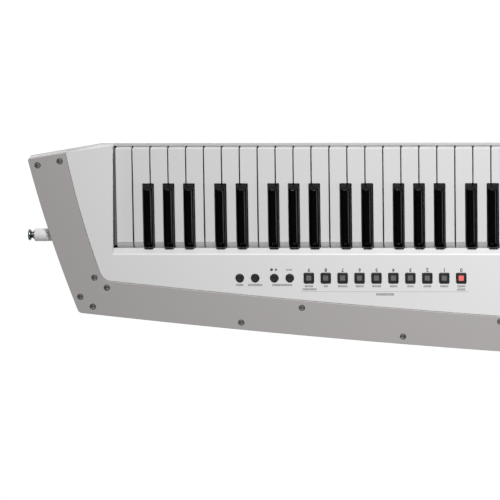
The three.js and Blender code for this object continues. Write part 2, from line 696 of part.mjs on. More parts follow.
function edgeBlade() {
  const underside = LEDGE_Z + CLEARANCE;
  const top = PANEL_Z + BLADE_PROUD;
  const outside = solid(loft([
    { outline: caseOutline, z: underside },
    { outline: caseOutline, z: top - BLADE_EDGE },
    { outline: inset(caseOutline, BLADE_EDGE), z: top },
  ]));
  let blade = outside.subtract(panelBlock(0, PARTING_Z, PANEL_Z + 2 * CUT));
  for (const { x, y } of bladeScrews) {
    const recess = post(x, y, top - SCREW_HEAD_DEPTH, top + CUT, SCREW_HEAD_RADIUS, SCREW_HEAD_RADIUS, 8);
    blade = blade.subtract(recess);
    blade = blade.subtract(screwHole(x, y, underside - CUT, top));
  }
  return blade;
}

addPart('edge_blade', edgeBlade(), GREY_BLADE);

// Layout of the keys, from the highest note at the end of the instrument

const SEEN_WHITE = 20;
const SEEN_BLACK = 14;
const LETTERS = ['b', 'a', 'g', 'f', 'e', 'd', 'c'];
const FOUR_GROUP = 4;
const TOP_OCTAVE = 5;

/** Each key's name, the limits of its head, and the slot of its shank among the keys beside it. */
function keyLayout() {
  const whites = [{ name: `key_c${TOP_OCTAVE + 1}`, slot: [KEYS_LEFT, KEYS_LEFT + WHITE_PITCH] }];
  const blacks = [];
  for (let i = 1; i < WHITE_COUNT; i++) {
    const step = (i - 1) % LETTERS.length;
    const octave = TOP_OCTAVE - Math.floor((i - 1) / LETTERS.length);
    const first = step < FOUR_GROUP ? 0 : FOUR_GROUP;
    const size = step < FOUR_GROUP ? FOUR_GROUP : LETTERS.length - FOUR_GROUP;
    const start = KEYS_LEFT + (i - step + first) * WHITE_PITCH;
    const width = (size * WHITE_PITCH) / (2 * size - 1);
    const left = start + 2 * (step - first) * width;
    whites.push({ name: `key_${LETTERS[step]}${octave}`, slot: [left, left + width] });
    if (step - first < size - 1) {
      const name = `key_${LETTERS[step + 1]}_sharp_${octave}`;
      blacks.push({ name, slot: [left + width, left + 2 * width] });
    }
  }
  whites.forEach((key, i) => {
    const trimLeft = i === 0 ? END_TRIM : 0;
    const trimRight = i === WHITE_COUNT - 1 ? END_TRIM : 0;
    const left = KEYS_LEFT + i * WHITE_PITCH;
    const gap = KEY_GAP / 2;
    key.head = [left + gap + trimLeft, left + WHITE_PITCH - gap - trimRight];
    key.shank = [Math.max(key.head[0], key.slot[0] + gap), Math.min(key.head[1], key.slot[1] - gap)];
  });
  return { whites, blacks };
}

const { whites, blacks } = keyLayout();
const middle = ([a, b]) => (a + b) / 2;

// Keys

const KEY_WALL = 1.8;
const KEY_SKIN = 2.5;
const KEY_ROUND = 0.7;
const KEY_CORNER = 1.6;
const TAIL_DROP = 5;
const TAIL_DEPTH = 7;
const WHITE_ARM_WIDTH = 9.4;
const BLACK_ARM_WIDTH = 8;
const HOOK_ARM = 12;
const HOOK_FIT = 0.35;
const HOOK_WALL = 2.6;
const HOOK_STEPS = 4;
const PLUNGER_WIDTH = 5;
const PLUNGER_LENGTH = 3;
const PLUNGER_DROP = 18;
const WHITE_PLUNGER_SHARE = 0.476;
const BLACK_PLUNGER_SHARE = 0.722;
const WHITE_PLUNGER_Y = HINGE_Y + (KEY_FRONT - HINGE_Y) * WHITE_PLUNGER_SHARE;
const BLACK_PLUNGER_Y = HINGE_Y + (BLACK_FRONT - HINGE_Y) * BLACK_PLUNGER_SHARE;
const GUIDE_FIT = 0.45;
const GUIDE_LENGTH = 3;
const GUIDE_SETBACK = 15;

/** The tail under the lip, the narrower arm behind it and the hook that clips over the hinge rod. */
function keyTail(x, width, armWidth, frontY) {
  const sweep = (4 * Math.PI) / 3;
  const reach = (ROD_RADIUS + HOOK_FIT) / Math.cos(sweep / HOOK_STEPS / 2);
  const arc = (radius) => Array.from({ length: HOOK_STEPS + 1 }, (_, k) => {
    const a = (sweep * k) / HOOK_STEPS - Math.PI / 6;
    return [HINGE_Y + radius * Math.cos(a), HINGE_Z + radius * Math.sin(a)];
  });
  const half = armWidth / 2;
  const hook = carriedAlongX([...arc(reach + HOOK_WALL), ...arc(reach).reverse()], x - half, x + half);
  const top = KEY_Z - TAIL_DROP;
  const under = top - TAIL_DEPTH;
  const arm = block(x - half, x + half, HINGE_Y + reach + HOOK_WALL / 2, frontY, under, top);
  return hook.add(arm).add(block(x - width / 2, x + width / 2, HINGE_Y + HOOK_ARM, frontY, under, top));
}

/** A rib inside a key that works its contact dome. */
function plunger(x, y, top) {
  return block(x - PLUNGER_WIDTH / 2, x + PLUNGER_WIDTH / 2, y - PLUNGER_LENGTH / 2, y + PLUNGER_LENGTH / 2,
    KEY_Z - PLUNGER_DROP, top - KEY_SKIN / 2);
}

function whiteOutline({ head, shank }, radius) {
  const notch = BLACK_FRONT + KEY_GAP;
  const right = shank[1] < head[1] ? [[shank[1], notch, 0], [head[1], notch, 0]] : [];
  const left = shank[0] > head[0] ? [[head[0], notch, 0], [shank[0], notch, 0]] : [];
  return rounded([
    [shank[0], STEP_Y, 0],
    [shank[1], STEP_Y, 0],
    ...right,
    [head[1], KEY_FRONT, radius],
    [head[0], KEY_FRONT, radius],
    ...left,
  ], 1);
}

function whiteKey(key) {
  const outline = whiteOutline(key, KEY_CORNER);
  const under = KEY_Z - WHITE_HEIGHT;
  const outside = solid(loft([
    { outline, z: under },
    { outline, z: KEY_Z - KEY_ROUND },
    { outline: inset(outline, KEY_ROUND), z: KEY_Z },
  ]));
  const hollow = plate(inset(whiteOutline(key, 0), KEY_WALL), under - CUT, KEY_Z - KEY_SKIN);
  const x = middle(key.shank);
  return outside.subtract(hollow).add(plunger(x, WHITE_PLUNGER_Y, KEY_Z))
    .add(keyTail(x, key.shank[1] - key.shank[0], WHITE_ARM_WIDTH, STEP_Y + KEY_WALL / 2));
}

const BLACK_WALL = 1.5;
const BLACK_SHOULDER = 1;

function blackKey(key) {
  const x = middle(key.slot);
  const top = KEY_Z + BLACK_RISE;
  const ring = (width, front, rear, z) => {
    const outline = rounded([
      [x - width / 2, BLACK_REAR + rear, BLACK_REAR_RADIUS],
      [x + width / 2, BLACK_REAR + rear, BLACK_REAR_RADIUS],
      [x + width / 2, BLACK_FRONT - front, 0],
      [x - width / 2, BLACK_FRONT - front, 0],
    ], 2);
    return { outline, z };
  };
  const shoulderWidth = BLACK_TOP_WIDTH + BLACK_SHOULDER;
  const share = 1 - BLACK_REAR_SLOPE / BLACK_RISE;
  const bendWidth = THREE.MathUtils.lerp(BLACK_WIDTH, shoulderWidth, share);
  const outside = solid(loft([
    ring(BLACK_WIDTH, 0, 0, KEY_Z - BLACK_SKIRT),
    ring(BLACK_WIDTH, 0, 0, KEY_Z),
    ring(bendWidth, BLACK_SLOPE * share, 0, KEY_Z + BLACK_RISE * share),
    ring(shoulderWidth, BLACK_SLOPE - BLACK_SHOULDER, BLACK_REAR_SLOPE - BLACK_SHOULDER, top - BLACK_SHOULDER),
    ring(BLACK_TOP_WIDTH, BLACK_SLOPE, BLACK_REAR_SLOPE, top),
  ]));
  const half = BLACK_TOP_WIDTH / 2 - BLACK_WALL / 2;
  const rear = BLACK_REAR + BLACK_REAR_SLOPE;
  const hollow = block(x - half, x + half, rear, BLACK_FRONT - BLACK_SLOPE,
    KEY_Z - BLACK_SKIRT - CUT, top - KEY_SKIN - BLACK_SHOULDER);
  return outside.subtract(hollow).add(plunger(x, BLACK_PLUNGER_Y, top - BLACK_SHOULDER))
    .add(keyTail(x, BLACK_TOP_WIDTH, BLACK_ARM_WIDTH, BLACK_REAR + BLACK_WALL));
}

// The lowest octave and two notes, past the player's right hand, are two mouldings joined behind the rod

const WEB_LENGTH = 7;
const WEB_HEIGHT = 4;
const WEB_ROOM = 1.4;
const ARM_HEIGHT = 2.6;
const SHARP_WEB_SETBACK = 10;
const hookBack = HINGE_Y - ROD_RADIUS - HOOK_FIT - HOOK_WALL - KEY_GAP / 2;

function lowerNaturals(keys) {
  const z0 = HINGE_Z - WEB_HEIGHT / 2;
  const z1 = HINGE_Z + WEB_HEIGHT / 2;
  const web = block(keys[0].shank[0] + KEY_WALL, keys[keys.length - 1].shank[1] - KEY_WALL,
    hookBack - WEB_LENGTH, hookBack - KEY_GAP, z0, z1);
  const stubs = keys.map((key) => {
    const x = middle(key.shank);
    const half = WHITE_ARM_WIDTH / 2 - KEY_GAP;
    return block(x - half, x + half, hookBack - WEB_LENGTH / 2, hookBack + HOOK_WALL / 2, z0, z1);
  });
  return joined([...keys.map(whiteKey), ...stubs, web]);
}

function lowerSharps(keys) {
  const armUnder = HINGE_Z + WEB_HEIGHT / 2 + WEB_ROOM;
  const back = hookBack - SHARP_WEB_SETBACK;
  const arms = keys.map((key) => {
    const x = middle(key.slot);
    const half = BLACK_ARM_WIDTH / 2;
    return block(x - half, x + half, back, HINGE_Y, armUnder, armUnder + ARM_HEIGHT);
  });
  const web = block(keys[0].slot[0] + KEY_WALL, keys[keys.length - 1].slot[1] - KEY_WALL,
    back - WEB_LENGTH / 2, back + KEY_WALL, HINGE_Z, armUnder + ARM_HEIGHT);
  return joined([...keys.map(blackKey), ...arms, web]);
}

for (const key of whites.slice(0, SEEN_WHITE)) addPart(key.name, whiteKey(key), KEY_WHITE);
for (const key of blacks.slice(0, SEEN_BLACK)) addPart(key.name, blackKey(key), KEY_BLACK);
addPart('lower_naturals', lowerNaturals(whites.slice(SEEN_WHITE)), KEY_WHITE);
addPart('lower_sharps', lowerSharps(blacks.slice(SEEN_BLACK)), KEY_BLACK);

// Key chassis: floor, hinge rod on its comb, and a guide post in every key

const COMB_THICKNESS = 1.6;
const COMB_FOOT = 5;
const COMB_HEAD = 1;
const ROD_SIDES = 8;
const CHASSIS_OVER = 2.5;
const WHITE_GUIDE_ROOM = 0.6;
const WINDOW_COUNT = 12;
const CHASSIS_WINDOW_LENGTH = 34;
const CHASSIS_WINDOW_DEPTH = 20;
const CHASSIS_WINDOW_SETBACK = 25;

function keyChassis() {
  const left = KEYS_LEFT - CHASSIS_OVER;
  const right = KEYS_RIGHT + CHASSIS_OVER;
  let frame = block(left, right, CHASSIS_REAR, CHASSIS_FRONT, CHASSIS_UNDER, CHASSIS_Z);
  for (const y of [CHASSIS_REAR, CHASSIS_FRONT - CHASSIS_THICKNESS]) {
    frame = frame.add(block(left, right, y, y + CHASSIS_THICKNESS, CHASSIS_UNDER - FLANGE_DROP, CHASSIS_Z));
  }
  const pitch = (right - left) / WINDOW_COUNT;
  for (let i = 0; i < WINDOW_COUNT; i++) {
    const x = left + (i + 1 / 2) * pitch - CHASSIS_WINDOW_LENGTH / 2;
    const y = HINGE_Y + CHASSIS_WINDOW_SETBACK;
    frame = frame.subtract(block(x, x + CHASSIS_WINDOW_LENGTH, y, y + CHASSIS_WINDOW_DEPTH,
      CHASSIS_UNDER - CUT, CHASSIS_Z + CUT));
  }
  const edges = [...whites, ...blacks].flatMap(({ slot }) => slot.map((x) => x.toFixed(3)));
  const places = [...new Set(edges)].map(Number);
  const tooth = [
    [HINGE_Y - COMB_FOOT, CHASSIS_Z - CHASSIS_THICKNESS / 2],
    [HINGE_Y + COMB_FOOT, CHASSIS_Z - CHASSIS_THICKNESS / 2],
    [HINGE_Y + COMB_HEAD, HINGE_Z - ROD_RADIUS / 2],
    [HINGE_Y - COMB_HEAD, HINGE_Z - ROD_RADIUS / 2],
  ];
  const teeth = places.map((x) => carriedAlongX(tooth, x - COMB_THICKNESS / 2, x + COMB_THICKNESS / 2));
  const rodLength = KEYS_RIGHT - KEYS_LEFT + COMB_THICKNESS;
  const rod = new THREE.CylinderGeometry(ROD_RADIUS, ROD_RADIUS, rodLength, ROD_SIDES);
  const middleX = (KEYS_LEFT + KEYS_RIGHT) / 2;
  rod.rotateY(Math.PI / ROD_SIDES).rotateZ(Math.PI / 2).translate(middleX, HINGE_Y, HINGE_Z);
  teeth.push(solid(rod));
  const guide = (x, y, width, top) => plate(
    rectangle(x - width / 2, x + width / 2, y - GUIDE_LENGTH / 2, y + GUIDE_LENGTH / 2),
    CHASSIS_Z - CHASSIS_THICKNESS / 2, top);
  for (const key of whites) {
    const width = key.head[1] - key.head[0] - 2 * (KEY_WALL + GUIDE_FIT);
    const top = KEY_Z - KEY_SKIN - WHITE_DIP - WHITE_GUIDE_ROOM;
    teeth.push(guide(middle(key.head), KEY_FRONT - GUIDE_SETBACK, width, top));
  }
  const blackDip = (BLACK_FRONT - HINGE_Y) * Math.sin(DIP_ANGLE);
  for (const key of blacks) {
    const width = BLACK_TOP_WIDTH - BLACK_WALL - 2 * GUIDE_FIT;
    const top = KEY_Z + BLACK_RISE - KEY_SKIN - BLACK_SHOULDER - blackDip - WHITE_GUIDE_ROOM;
    teeth.push(guide(middle(key.slot), BLACK_FRONT - GUIDE_SETBACK, width, Math.min(top, KEY_Z - KEY_SKIN)));
  }
  return frame.add(joined(teeth));
}

addPart('key_chassis', keyChassis(), CHASSIS_GREY);

// Contact strip: rubber domes under the plungers, drawn pressed flat

const STRIP_THICKNESS = 1.4;
const STRIP_MARGIN = 6;
const DOME_RADIUS = 4;
const DOME_TOP_RADIUS = 2.4;

function contactStrip() {
  const z0 = CHASSIS_Z + CLEARANCE;
  const z1 = z0 + STRIP_THICKNESS;
  const lowY = Math.min(WHITE_PLUNGER_Y, BLACK_PLUNGER_Y) - STRIP_MARGIN;
  const highY = Math.max(WHITE_PLUNGER_Y, BLACK_PLUNGER_Y) + STRIP_MARGIN;
  const base = block(KEYS_LEFT, KEYS_RIGHT, lowY, highY, z0, z1);
  const dome = (x, y) => {
    const pressed = KEY_Z - PLUNGER_DROP - (y + PLUNGER_LENGTH - HINGE_Y) * Math.sin(DIP_ANGLE);
    return post(x, y, z1 - STRIP_THICKNESS / 2, pressed - CLEARANCE, DOME_RADIUS, DOME_TOP_RADIUS, 6);
  };
  return joined([
    base,
    ...whites.map((key) => dome(middle(key.shank), WHITE_PLUNGER_Y)),
    ...blacks.map((key) => dome(middle(key.slot), BLACK_PLUNGER_Y)),
  ]);
}

addPart('contact_strip', contactStrip(), CONTACT_RUBBER);

// Control board with a switch under every button

function controlBoard() {
  const face = BOARD_Z + BOARD_THICKNESS;
  const rowLow = BUTTON_ROW_Y - BOARD_HALF_DEPTH;
  const rowHigh = BUTTON_ROW_Y + BOARD_HALF_DEPTH;
  const board = block(BOARD_LEFT, BOARD_RIGHT, rowLow, rowHigh, BOARD_Z, face);
  const half = SWITCH_SIDE / 2;
  const switches = [...roundCentres, ...squareCentres].map((x) => block(x - half, x + half,
    BUTTON_ROW_Y - half, BUTTON_ROW_Y + half, face - BOARD_THICKNESS / 2, face + SWITCH_HEIGHT));
  return joined([board, ...switches]);
}

addPart('control_board', controlBoard(), BOARD_GREEN);

// Buttons: a cap through the panel, a flange that keeps it in, and a stem on its switch

function buttonBody(cap, crown, flange, x) {
  const top = PANEL_Z + BUTTON_PROUD;
  const stem = SWITCH_SIDE * BUTTON_STEM_SHARE;
  return joined([
    solid(loft([
      { outline: cap, z: FLANGE_Z - BUTTON_FLANGE / 2 },
      { outline: cap, z: top - crown },
      { outline: inset(cap, crown), z: top },
    ])),
    plate(flange, FLANGE_Z - BUTTON_FLANGE, FLANGE_Z),
    block(x - stem, x + stem, BUTTON_ROW_Y - stem, BUTTON_ROW_Y + stem, STEM_Z, FLANGE_Z - BUTTON_FLANGE / 2),
  ]);
}

const ROUND_SIDES = 12;

function squareButton(x) {
  const half = SQUARE_SIDE / 2;
  const square = (size, radius) => rounded([
    [x - size, BUTTON_ROW_Y - size, radius],
    [x + size, BUTTON_ROW_Y - size, radius],
    [x + size, BUTTON_ROW_Y + size, radius],
    [x - size, BUTTON_ROW_Y + size, radius],
  ], 1);
  return buttonBody(square(half, 2 * SQUARE_CROWN), SQUARE_CROWN, square(half + BUTTON_FLANGE_OVER, 0), x);
}

function roundButton(x) {
  const circle = (radius) => Array.from({ length: ROUND_SIDES }, (_, k) => {
    const a = (2 * Math.PI * k) / ROUND_SIDES;
    return point(x + radius * Math.cos(a), BUTTON_ROW_Y + radius * Math.sin(a));
  });
  return buttonBody(circle(ROUND_RADIUS), SQUARE_CROWN, circle(ROUND_RADIUS + BUTTON_FLANGE_OVER), x);
}

roundCentres.forEach((x, i) => addPart(`round_button_${i + 1}`, roundButton(x), BUTTON_BLACK));
squareCentres.forEach((x, i) => {
  addPart(`square_button_${SQUARE_COUNT - 1 - i}`, squareButton(x), BUTTON_BLACK);
});

// Modulation bar: a lever let into the neck, hinged at its body end

const BAR_END_RADIUS = 4;
const BAR_TONGUE = 3;

function modulationBar() {
  const outline = rounded([
    [BAR_LEFT, BAR_LOW, 0],
    [BAR_RIGHT, BAR_LOW, BAR_END_RADIUS],
    [BAR_RIGHT, BAR_HIGH, BAR_END_RADIUS],
    [BAR_LEFT, BAR_HIGH, 0],
  ], 3);
  const bar = solid(loft([
    { outline, z: BAR_PIN_Z - BAR_PIN_RADIUS },
    { outline, z: PANEL_Z + BAR_PROUD - KEY_ROUND },
    { outline: inset(outline, KEY_ROUND), z: PANEL_Z + BAR_PROUD },
  ]));
  const tongue = block(BAR_RIGHT - BAR_END_RADIUS, BAR_RIGHT + BAR_TONGUE,
    BAR_LOW + BAR_TONGUE, BAR_HIGH - BAR_TONGUE, BAR_PIN_Z - BAR_PIN_RADIUS, SKIN_UNDER - CLEARANCE);
  return bar.add(barPin(0)).add(tongue);
}

addPart('modulation_bar', modulationBar(), BUTTON_BLACK);

// Strap pins, screwed into the bosses at both ends

function strapPin(x, y, direction) {
  const neckEnd = -CLEARANCE - PIN_NECK_LENGTH;
  const headEnd = neckEnd - PIN_HEAD_THICKNESS;
  const edge = PIN_BOSS_EDGE;
  return turnedAlongX([
    [0, headEnd],
    [PIN_HEAD_RADIUS - edge, headEnd],
    [PIN_HEAD_RADIUS, headEnd + edge],
    [PIN_HEAD_RADIUS, neckEnd - edge],
    [PIN_HEAD_RADIUS - edge, neckEnd],
    [PIN_NECK_RADIUS, neckEnd],
    [PIN_NECK_RADIUS, -CLEARANCE],
    [PIN_STEM_RADIUS, -CLEARANCE],
    [PIN_STEM_RADIUS, PIN_STEM_LENGTH],
    [0, PIN_STEM_LENGTH],
  ], x, y, PIN_Z, direction, 12);
}

addPart('strap_pin_end', strapPin(PIN_END_X, PIN_END_Y, 1), PIN_STEEL);
addPart('strap_pin_neck', strapPin(PIN_TIP_X, PIN_TIP_Y, -1), PIN_STEEL);

// Battery cover, snapped into the floor

const GRIP_COUNT = 4;
const GRIP_PITCH = 5;
const GRIP_WIDTH = 2;
const GRIP_DEPTH = 0.8;
const TAB_HEIGHT = 5;

function batteryCover() {
  const edge = COVER_LEDGE - CLEARANCE;
  let cover = plate(bayOutline(edge), FLOOR_Z, FLOOR_Z + COVER_THICKNESS);
  const centre = BAY_X + BAY_LENGTH / 2;
  for (const y of [BAY_Y + CLEARANCE, BAY_Y + BAY_WIDTH - CLEARANCE - BAY_WALL / 2]) {
    cover = cover.add(block(centre - COVER_TAB, centre + COVER_TAB, y, y + BAY_WALL / 2,
      FLOOR_Z + COVER_THICKNESS / 2, FLOOR_Z + COVER_THICKNESS + TAB_HEIGHT));
  }
  const middleY = BAY_Y + BAY_WIDTH / 2;
  for (let i = 0; i < GRIP_COUNT; i++) {
    const x = BAY_X + GRIP_PITCH * (i + 1);
    cover = cover.subtract(block(x, x + GRIP_WIDTH, middleY - COVER_TAB, middleY + COVER_TAB,
      FLOOR_Z - CUT, FLOOR_Z + GRIP_DEPTH));
  }
  return cover;
}

addPart('battery_cover', batteryCover(), WHITE_SHELL);

export default parts;
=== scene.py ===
"""Looks of a keytar that lies on its back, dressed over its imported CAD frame.

Lengths are millimetres in the frame of the part: +X to the neck, +Y to the key fronts, +Z up.
They turn into metres only where a mesh is written.
"""

import logging
import math
from dataclasses import dataclass, field
from enum import Enum
from typing import Any, Sequence

import bmesh
import bpy
import numpy as np
from mathutils import Matrix, Vector
from mathutils.geometry import delaunay_2d_cdt


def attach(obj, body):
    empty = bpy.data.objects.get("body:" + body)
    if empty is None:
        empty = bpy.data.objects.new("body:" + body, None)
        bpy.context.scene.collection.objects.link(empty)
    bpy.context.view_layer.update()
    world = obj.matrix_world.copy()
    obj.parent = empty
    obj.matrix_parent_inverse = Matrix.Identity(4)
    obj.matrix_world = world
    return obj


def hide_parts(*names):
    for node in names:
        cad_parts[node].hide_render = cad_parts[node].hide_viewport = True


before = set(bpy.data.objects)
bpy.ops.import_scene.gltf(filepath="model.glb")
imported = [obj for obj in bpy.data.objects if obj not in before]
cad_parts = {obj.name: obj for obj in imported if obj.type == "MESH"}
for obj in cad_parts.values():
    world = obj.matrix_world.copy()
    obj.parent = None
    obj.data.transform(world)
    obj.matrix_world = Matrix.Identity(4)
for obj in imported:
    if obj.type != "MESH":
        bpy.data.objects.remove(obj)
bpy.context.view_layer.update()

Array = np.ndarray
Material = bpy.types.Material
Pairs = Sequence[tuple[float, float]]
Place = tuple[float, float, float]
MM = 0.001
# The flat strip beside a rounding, which keeps the shading of the faces even.
SUPPORT = 0.4
LOG = logging.getLogger("keytar")


# Curves in plan


def unit(vectors: Array) -> Array:
    """Divides each row by its own length; a row of no length stays as it is."""
    length = np.linalg.norm(vectors, axis=-1, keepdims=True)
    return vectors / np.where(length > 1e-12, length, 1.0)


def rounded(corners: Array, steps: int = 8) -> Array:
    """Rounds the corners of a closed outline.

    An arc touches both sides of its corner: its centre is on their bisector, at radius / sin(half the angle)
    from the corner, and it starts at radius / tan(half the angle) along each side.

    Args:
        corners: Rows of x, y and radius, anticlockwise.
        steps: Steps of each arc.

    Returns:
        The outline's points, one for a corner with no radius.
    """
    data = np.asarray(corners, float)
    here, radius = data[:, :2], data[:, 2]
    back = unit(np.roll(here, 1, axis=0) - here)
    ahead = unit(np.roll(here, -1, axis=0) - here)
    half = np.arccos(np.clip((back * ahead).sum(axis=1), -1.0, 1.0)) / 2.0
    reach = radius / np.tan(half)
    centre = here + unit(back + ahead) * (radius / np.sin(half))[:, None]
    spokes = np.stack([here + back * reach[:, None], here + ahead * reach[:, None]]) - centre
    first, last = np.arctan2(spokes[..., 1], spokes[..., 0])
    sweep = np.angle(np.exp(1j * (last - first)))
    angles = first[:, None] + sweep[:, None] * np.linspace(0.0, 1.0, steps + 1)
    arcs = centre[:, None] + radius[:, None, None] * np.stack([np.cos(angles), np.sin(angles)], axis=-1)
    sharp = reach < 0.03
    arcs[sharp] = here[sharp][:, None]
    keep = ~sharp[:, None] | (np.arange(steps + 1) == 0)
    return arcs[keep]


def inset(outline: Array, distance: float | Array) -> Array:
    """Moves every side of an anticlockwise outline inwards.

    A corner moves along the sum of its two inward normals, by distance / (1 + cosine of the turn).

    Args:
        outline: Points in order, closed by themselves.
        distance: The distance, one for all or one for each point; negative moves outwards.

    Returns:
        As many points as the outline has.
    """
    before = unit(outline - np.roll(outline, 1, axis=0))
    after = unit(np.roll(outline, -1, axis=0) - outline)
    normals = np.stack([-(before[:, 1] + after[:, 1]), before[:, 0] + after[:, 0]], axis=1)
    share = np.maximum(1.0 + (before * after).sum(axis=1), 0.1)
    return outline + normals * (np.asarray(distance) / share)[:, None]


def inset_corners(corners: Array, distance: float, least: float = 2.0) -> Array:
    """Moves the corners of a case inwards; hollow arcs grow and full arcs shrink with it.

    Args:
        corners: Rows of x, y and radius, anticlockwise.
        distance: The distance inwards.
        least: The least radius that a rounded corner keeps.

    Returns:
        Rows of x, y and radius.
    """
    plain = corners[:, :2]
    before = plain - np.roll(plain, 1, axis=0)
    after = np.roll(plain, -1, axis=0) - plain
    full = before[:, 0] * after[:, 1] - before[:, 1] * after[:, 0] > 0
    radius = np.maximum(corners[:, 2] + np.where(full, -distance, distance), least)
    return np.column_stack([inset(plain, distance), np.where(corners[:, 2] > 0, radius, 0.0)])


def crossings(outline: Array, path: Array) -> Array:
    """Finds where a closed outline meets an open path, by solving p + r t = q + s u for every pair of sides.

    Args:
        outline: Points of the closed outline.
        path: Points of the open path.

    Returns:
        Rows of places along the outline and the path, each a point's number plus a share of the side after it,
        in the order of the path.
    """
    side = (np.roll(outline, -1, axis=0) - outline)[:, None]
    step = np.diff(path, axis=0)[None]
    gap = path[None, :-1] - outline[:, None]
    area = side[..., 0] * step[..., 1] - side[..., 1] * step[..., 0]
    area = np.where(np.abs(area) < 1e-9, np.inf, area)
    t = (gap[..., 0] * step[..., 1] - gap[..., 1] * step[..., 0]) / area
    u = (gap[..., 0] * side[..., 1] - gap[..., 1] * side[..., 0]) / area
    hit = (t >= 0) & (t < 1) & (u >= 0) & (u < 1) & np.isfinite(area)
    first, second = np.nonzero(hit)
    found = np.column_stack([first + t[hit], second + u[hit]])
    return found[np.argsort(found[:, 1])]


def at_places(outline: Array, places: Array) -> Array:
    """Finds points of a closed outline.

    Args:
        outline: Points of the outline.
        places: For each point, a corner's number plus a share of the side after it.

    Returns:
        The points.
    """
    low = np.floor(places).astype(int)
    share = (places - low)[:, None]
    return outline[low % len(outline)] * (1.0 - share) + outline[(low + 1) % len(outline)] * share


def stretch(outline: Array, start: float, end: float) -> Array:
    """Cuts the part of a closed outline between two places.

    Args:
        outline: Points of the closed outline.
        start: Place where the part starts.
        end: Place where it ends, past the outline's first point if it is the smaller one.

    Returns:
        The points of the part with both of its ends.
    """
    end += len(outline) if end <= start else 0
    inner = np.arange(math.floor(start) + 1, math.ceil(end))
    return at_places(outline, np.concatenate([[start], inner, [end]]))


def rectangle(x0: float, x1: float, y0: float, y1: float, radius: float) -> Array:
    """The corners of a rounded rectangle, anticlockwise from its low corner."""
    return np.array([[x0, y0, radius], [x1, y0, radius], [x1, y1, radius], [x0, y1, radius]], float)


def circle(x: float, y: float, radius: float, count: int = 32) -> Array:
    """A circle as an anticlockwise outline."""
    angles = np.linspace(0.0, 2.0 * math.pi, count, endpoint=False)
    return np.stack([x + radius * np.cos(angles), y + radius * np.sin(angles)], axis=1)


def within(points: Array, outline: Array) -> Array:
    """Tells which points lie in a closed outline, by counting the sides that a ray along +X crosses.

    Args:
        points: Rows of x and y.
        outline: Points of the closed outline.

    Returns:
        True for each point inside.
    """
    a, b = outline, np.roll(outline, -1, axis=0)
    x, y = points[:, 0, None], points[:, 1, None]
    spans = (a[:, 1] > y) != (b[:, 1] > y)
    rise = np.where(b[:, 1] == a[:, 1], 1.0, b[:, 1] - a[:, 1])
    reach = a[:, 0] + (y - a[:, 1]) / rise * (b[:, 0] - a[:, 0])
    return (spans & (x < reach)).sum(axis=1) % 2 == 1


# Surfaces


@dataclass
class Surface:
    """Points in millimetres with the four- and three-sided faces between them."""

    points: Array
    quads: Array = field(default_factory=lambda: np.zeros((0, 4), int))
    triangles: Array = field(default_factory=lambda: np.zeros((0, 3), int))

    def flipped(self) -> "Surface":
        """The same surface with its faces turned over."""
        return Surface(self.points, self.quads[:, ::-1], self.triangles[:, ::-1])

    def placed(self, turn: Matrix) -> "Surface":
        """The surface moved by a matrix in millimetres."""
        matrix = np.array(turn)
        return Surface(self.points @ matrix[:3, :3].T + matrix[:3, 3], self.quads, self.triangles)


def together(surfaces: Sequence[Surface]) -> Surface:
    """Puts surfaces into one, with the point numbers of each raised by the points before it.

    Args:
        surfaces: The surfaces in order.

    Returns:
        One surface with all their points and faces.
    """
    starts = np.cumsum([0] + [len(s.points) for s in surfaces[:-1]])
    return Surface(
        np.concatenate([s.points for s in surfaces]),
        np.concatenate([s.quads + n for s, n in zip(surfaces, starts)]),
        np.concatenate([s.triangles + n for s, n in zip(surfaces, starts)]),
    )


def grid(points: Array, closed: bool = False) -> Surface:
    """Joins a grid of points with four-sided faces, each between two rows and two columns.

    With rows that climb and columns that run anticlockwise, the faces point outwards.

    Args:
        points: Rows by columns by x, y, z.
        closed: Whether the last column joins the first.

    Returns:
        The surface of the grid.
    """
    rows, columns = points.shape[:2]
    number = np.arange(rows * columns).reshape(rows, columns)
    ahead = np.roll(number, -1, axis=1)
    if not closed:
        number, ahead = number[:, :-1], ahead[:, :-1]
    quads = np.stack([number[:-1], ahead[:-1], ahead[1:], number[1:]], axis=-1)
    return Surface(points.reshape(-1, 3), quads.reshape(-1, 4))


def filled(loops: Sequence[Array], z: float, lines: Sequence[Array] = ()) -> Surface:
    """Fills the plan inside the first loop and outside the others with Delaunay triangles that face up.

    Args:
        loops: Closed outlines; the first is the outer one and the rest are holes.
        z: Height of the fill.
        lines: Open lines that the triangles keep to.

    Returns:
        The flat surface.
    """
    chains = [*loops, *lines]
    starts = np.cumsum([0] + [len(chain) for chain in chains])
    sides = []
    for i, chain in enumerate(chains):
        ring = np.arange(len(chain))
        pairs = np.stack([ring, np.roll(ring, -1)], axis=1)
        sides.append((pairs if i < len(loops) else pairs[:-1]) + starts[i])
    places = [Vector(p) for p in np.concatenate(chains).tolist()]
    found = delaunay_2d_cdt(places, np.concatenate(sides).tolist(), [], 0, 1e-6)
    flat = np.array([tuple(p) for p in found[0]])
    corners = np.array(found[2], int)
    a, b, c = (flat[corners[:, k]] for k in range(3))
    middle = (a + b + c) / 3.0
    keep = within(middle, loops[0])
    for hole in loops[1:]:
        keep &= ~within(middle, hole)
    twice = (b[:, 0] - a[:, 0]) * (c[:, 1] - a[:, 1]) - (b[:, 1] - a[:, 1]) * (c[:, 0] - a[:, 0])
    corners = np.where((twice < 0)[:, None], corners[:, ::-1], corners)[keep & (np.abs(twice) > 1e-9)]
    return Surface(np.column_stack([flat, np.full(len(flat), z)]), triangles=corners)


def level(outline: Array, z: float | Array) -> Array:
    """The points of an outline at a height."""
    return np.column_stack([outline, np.broadcast_to(z, len(outline))])


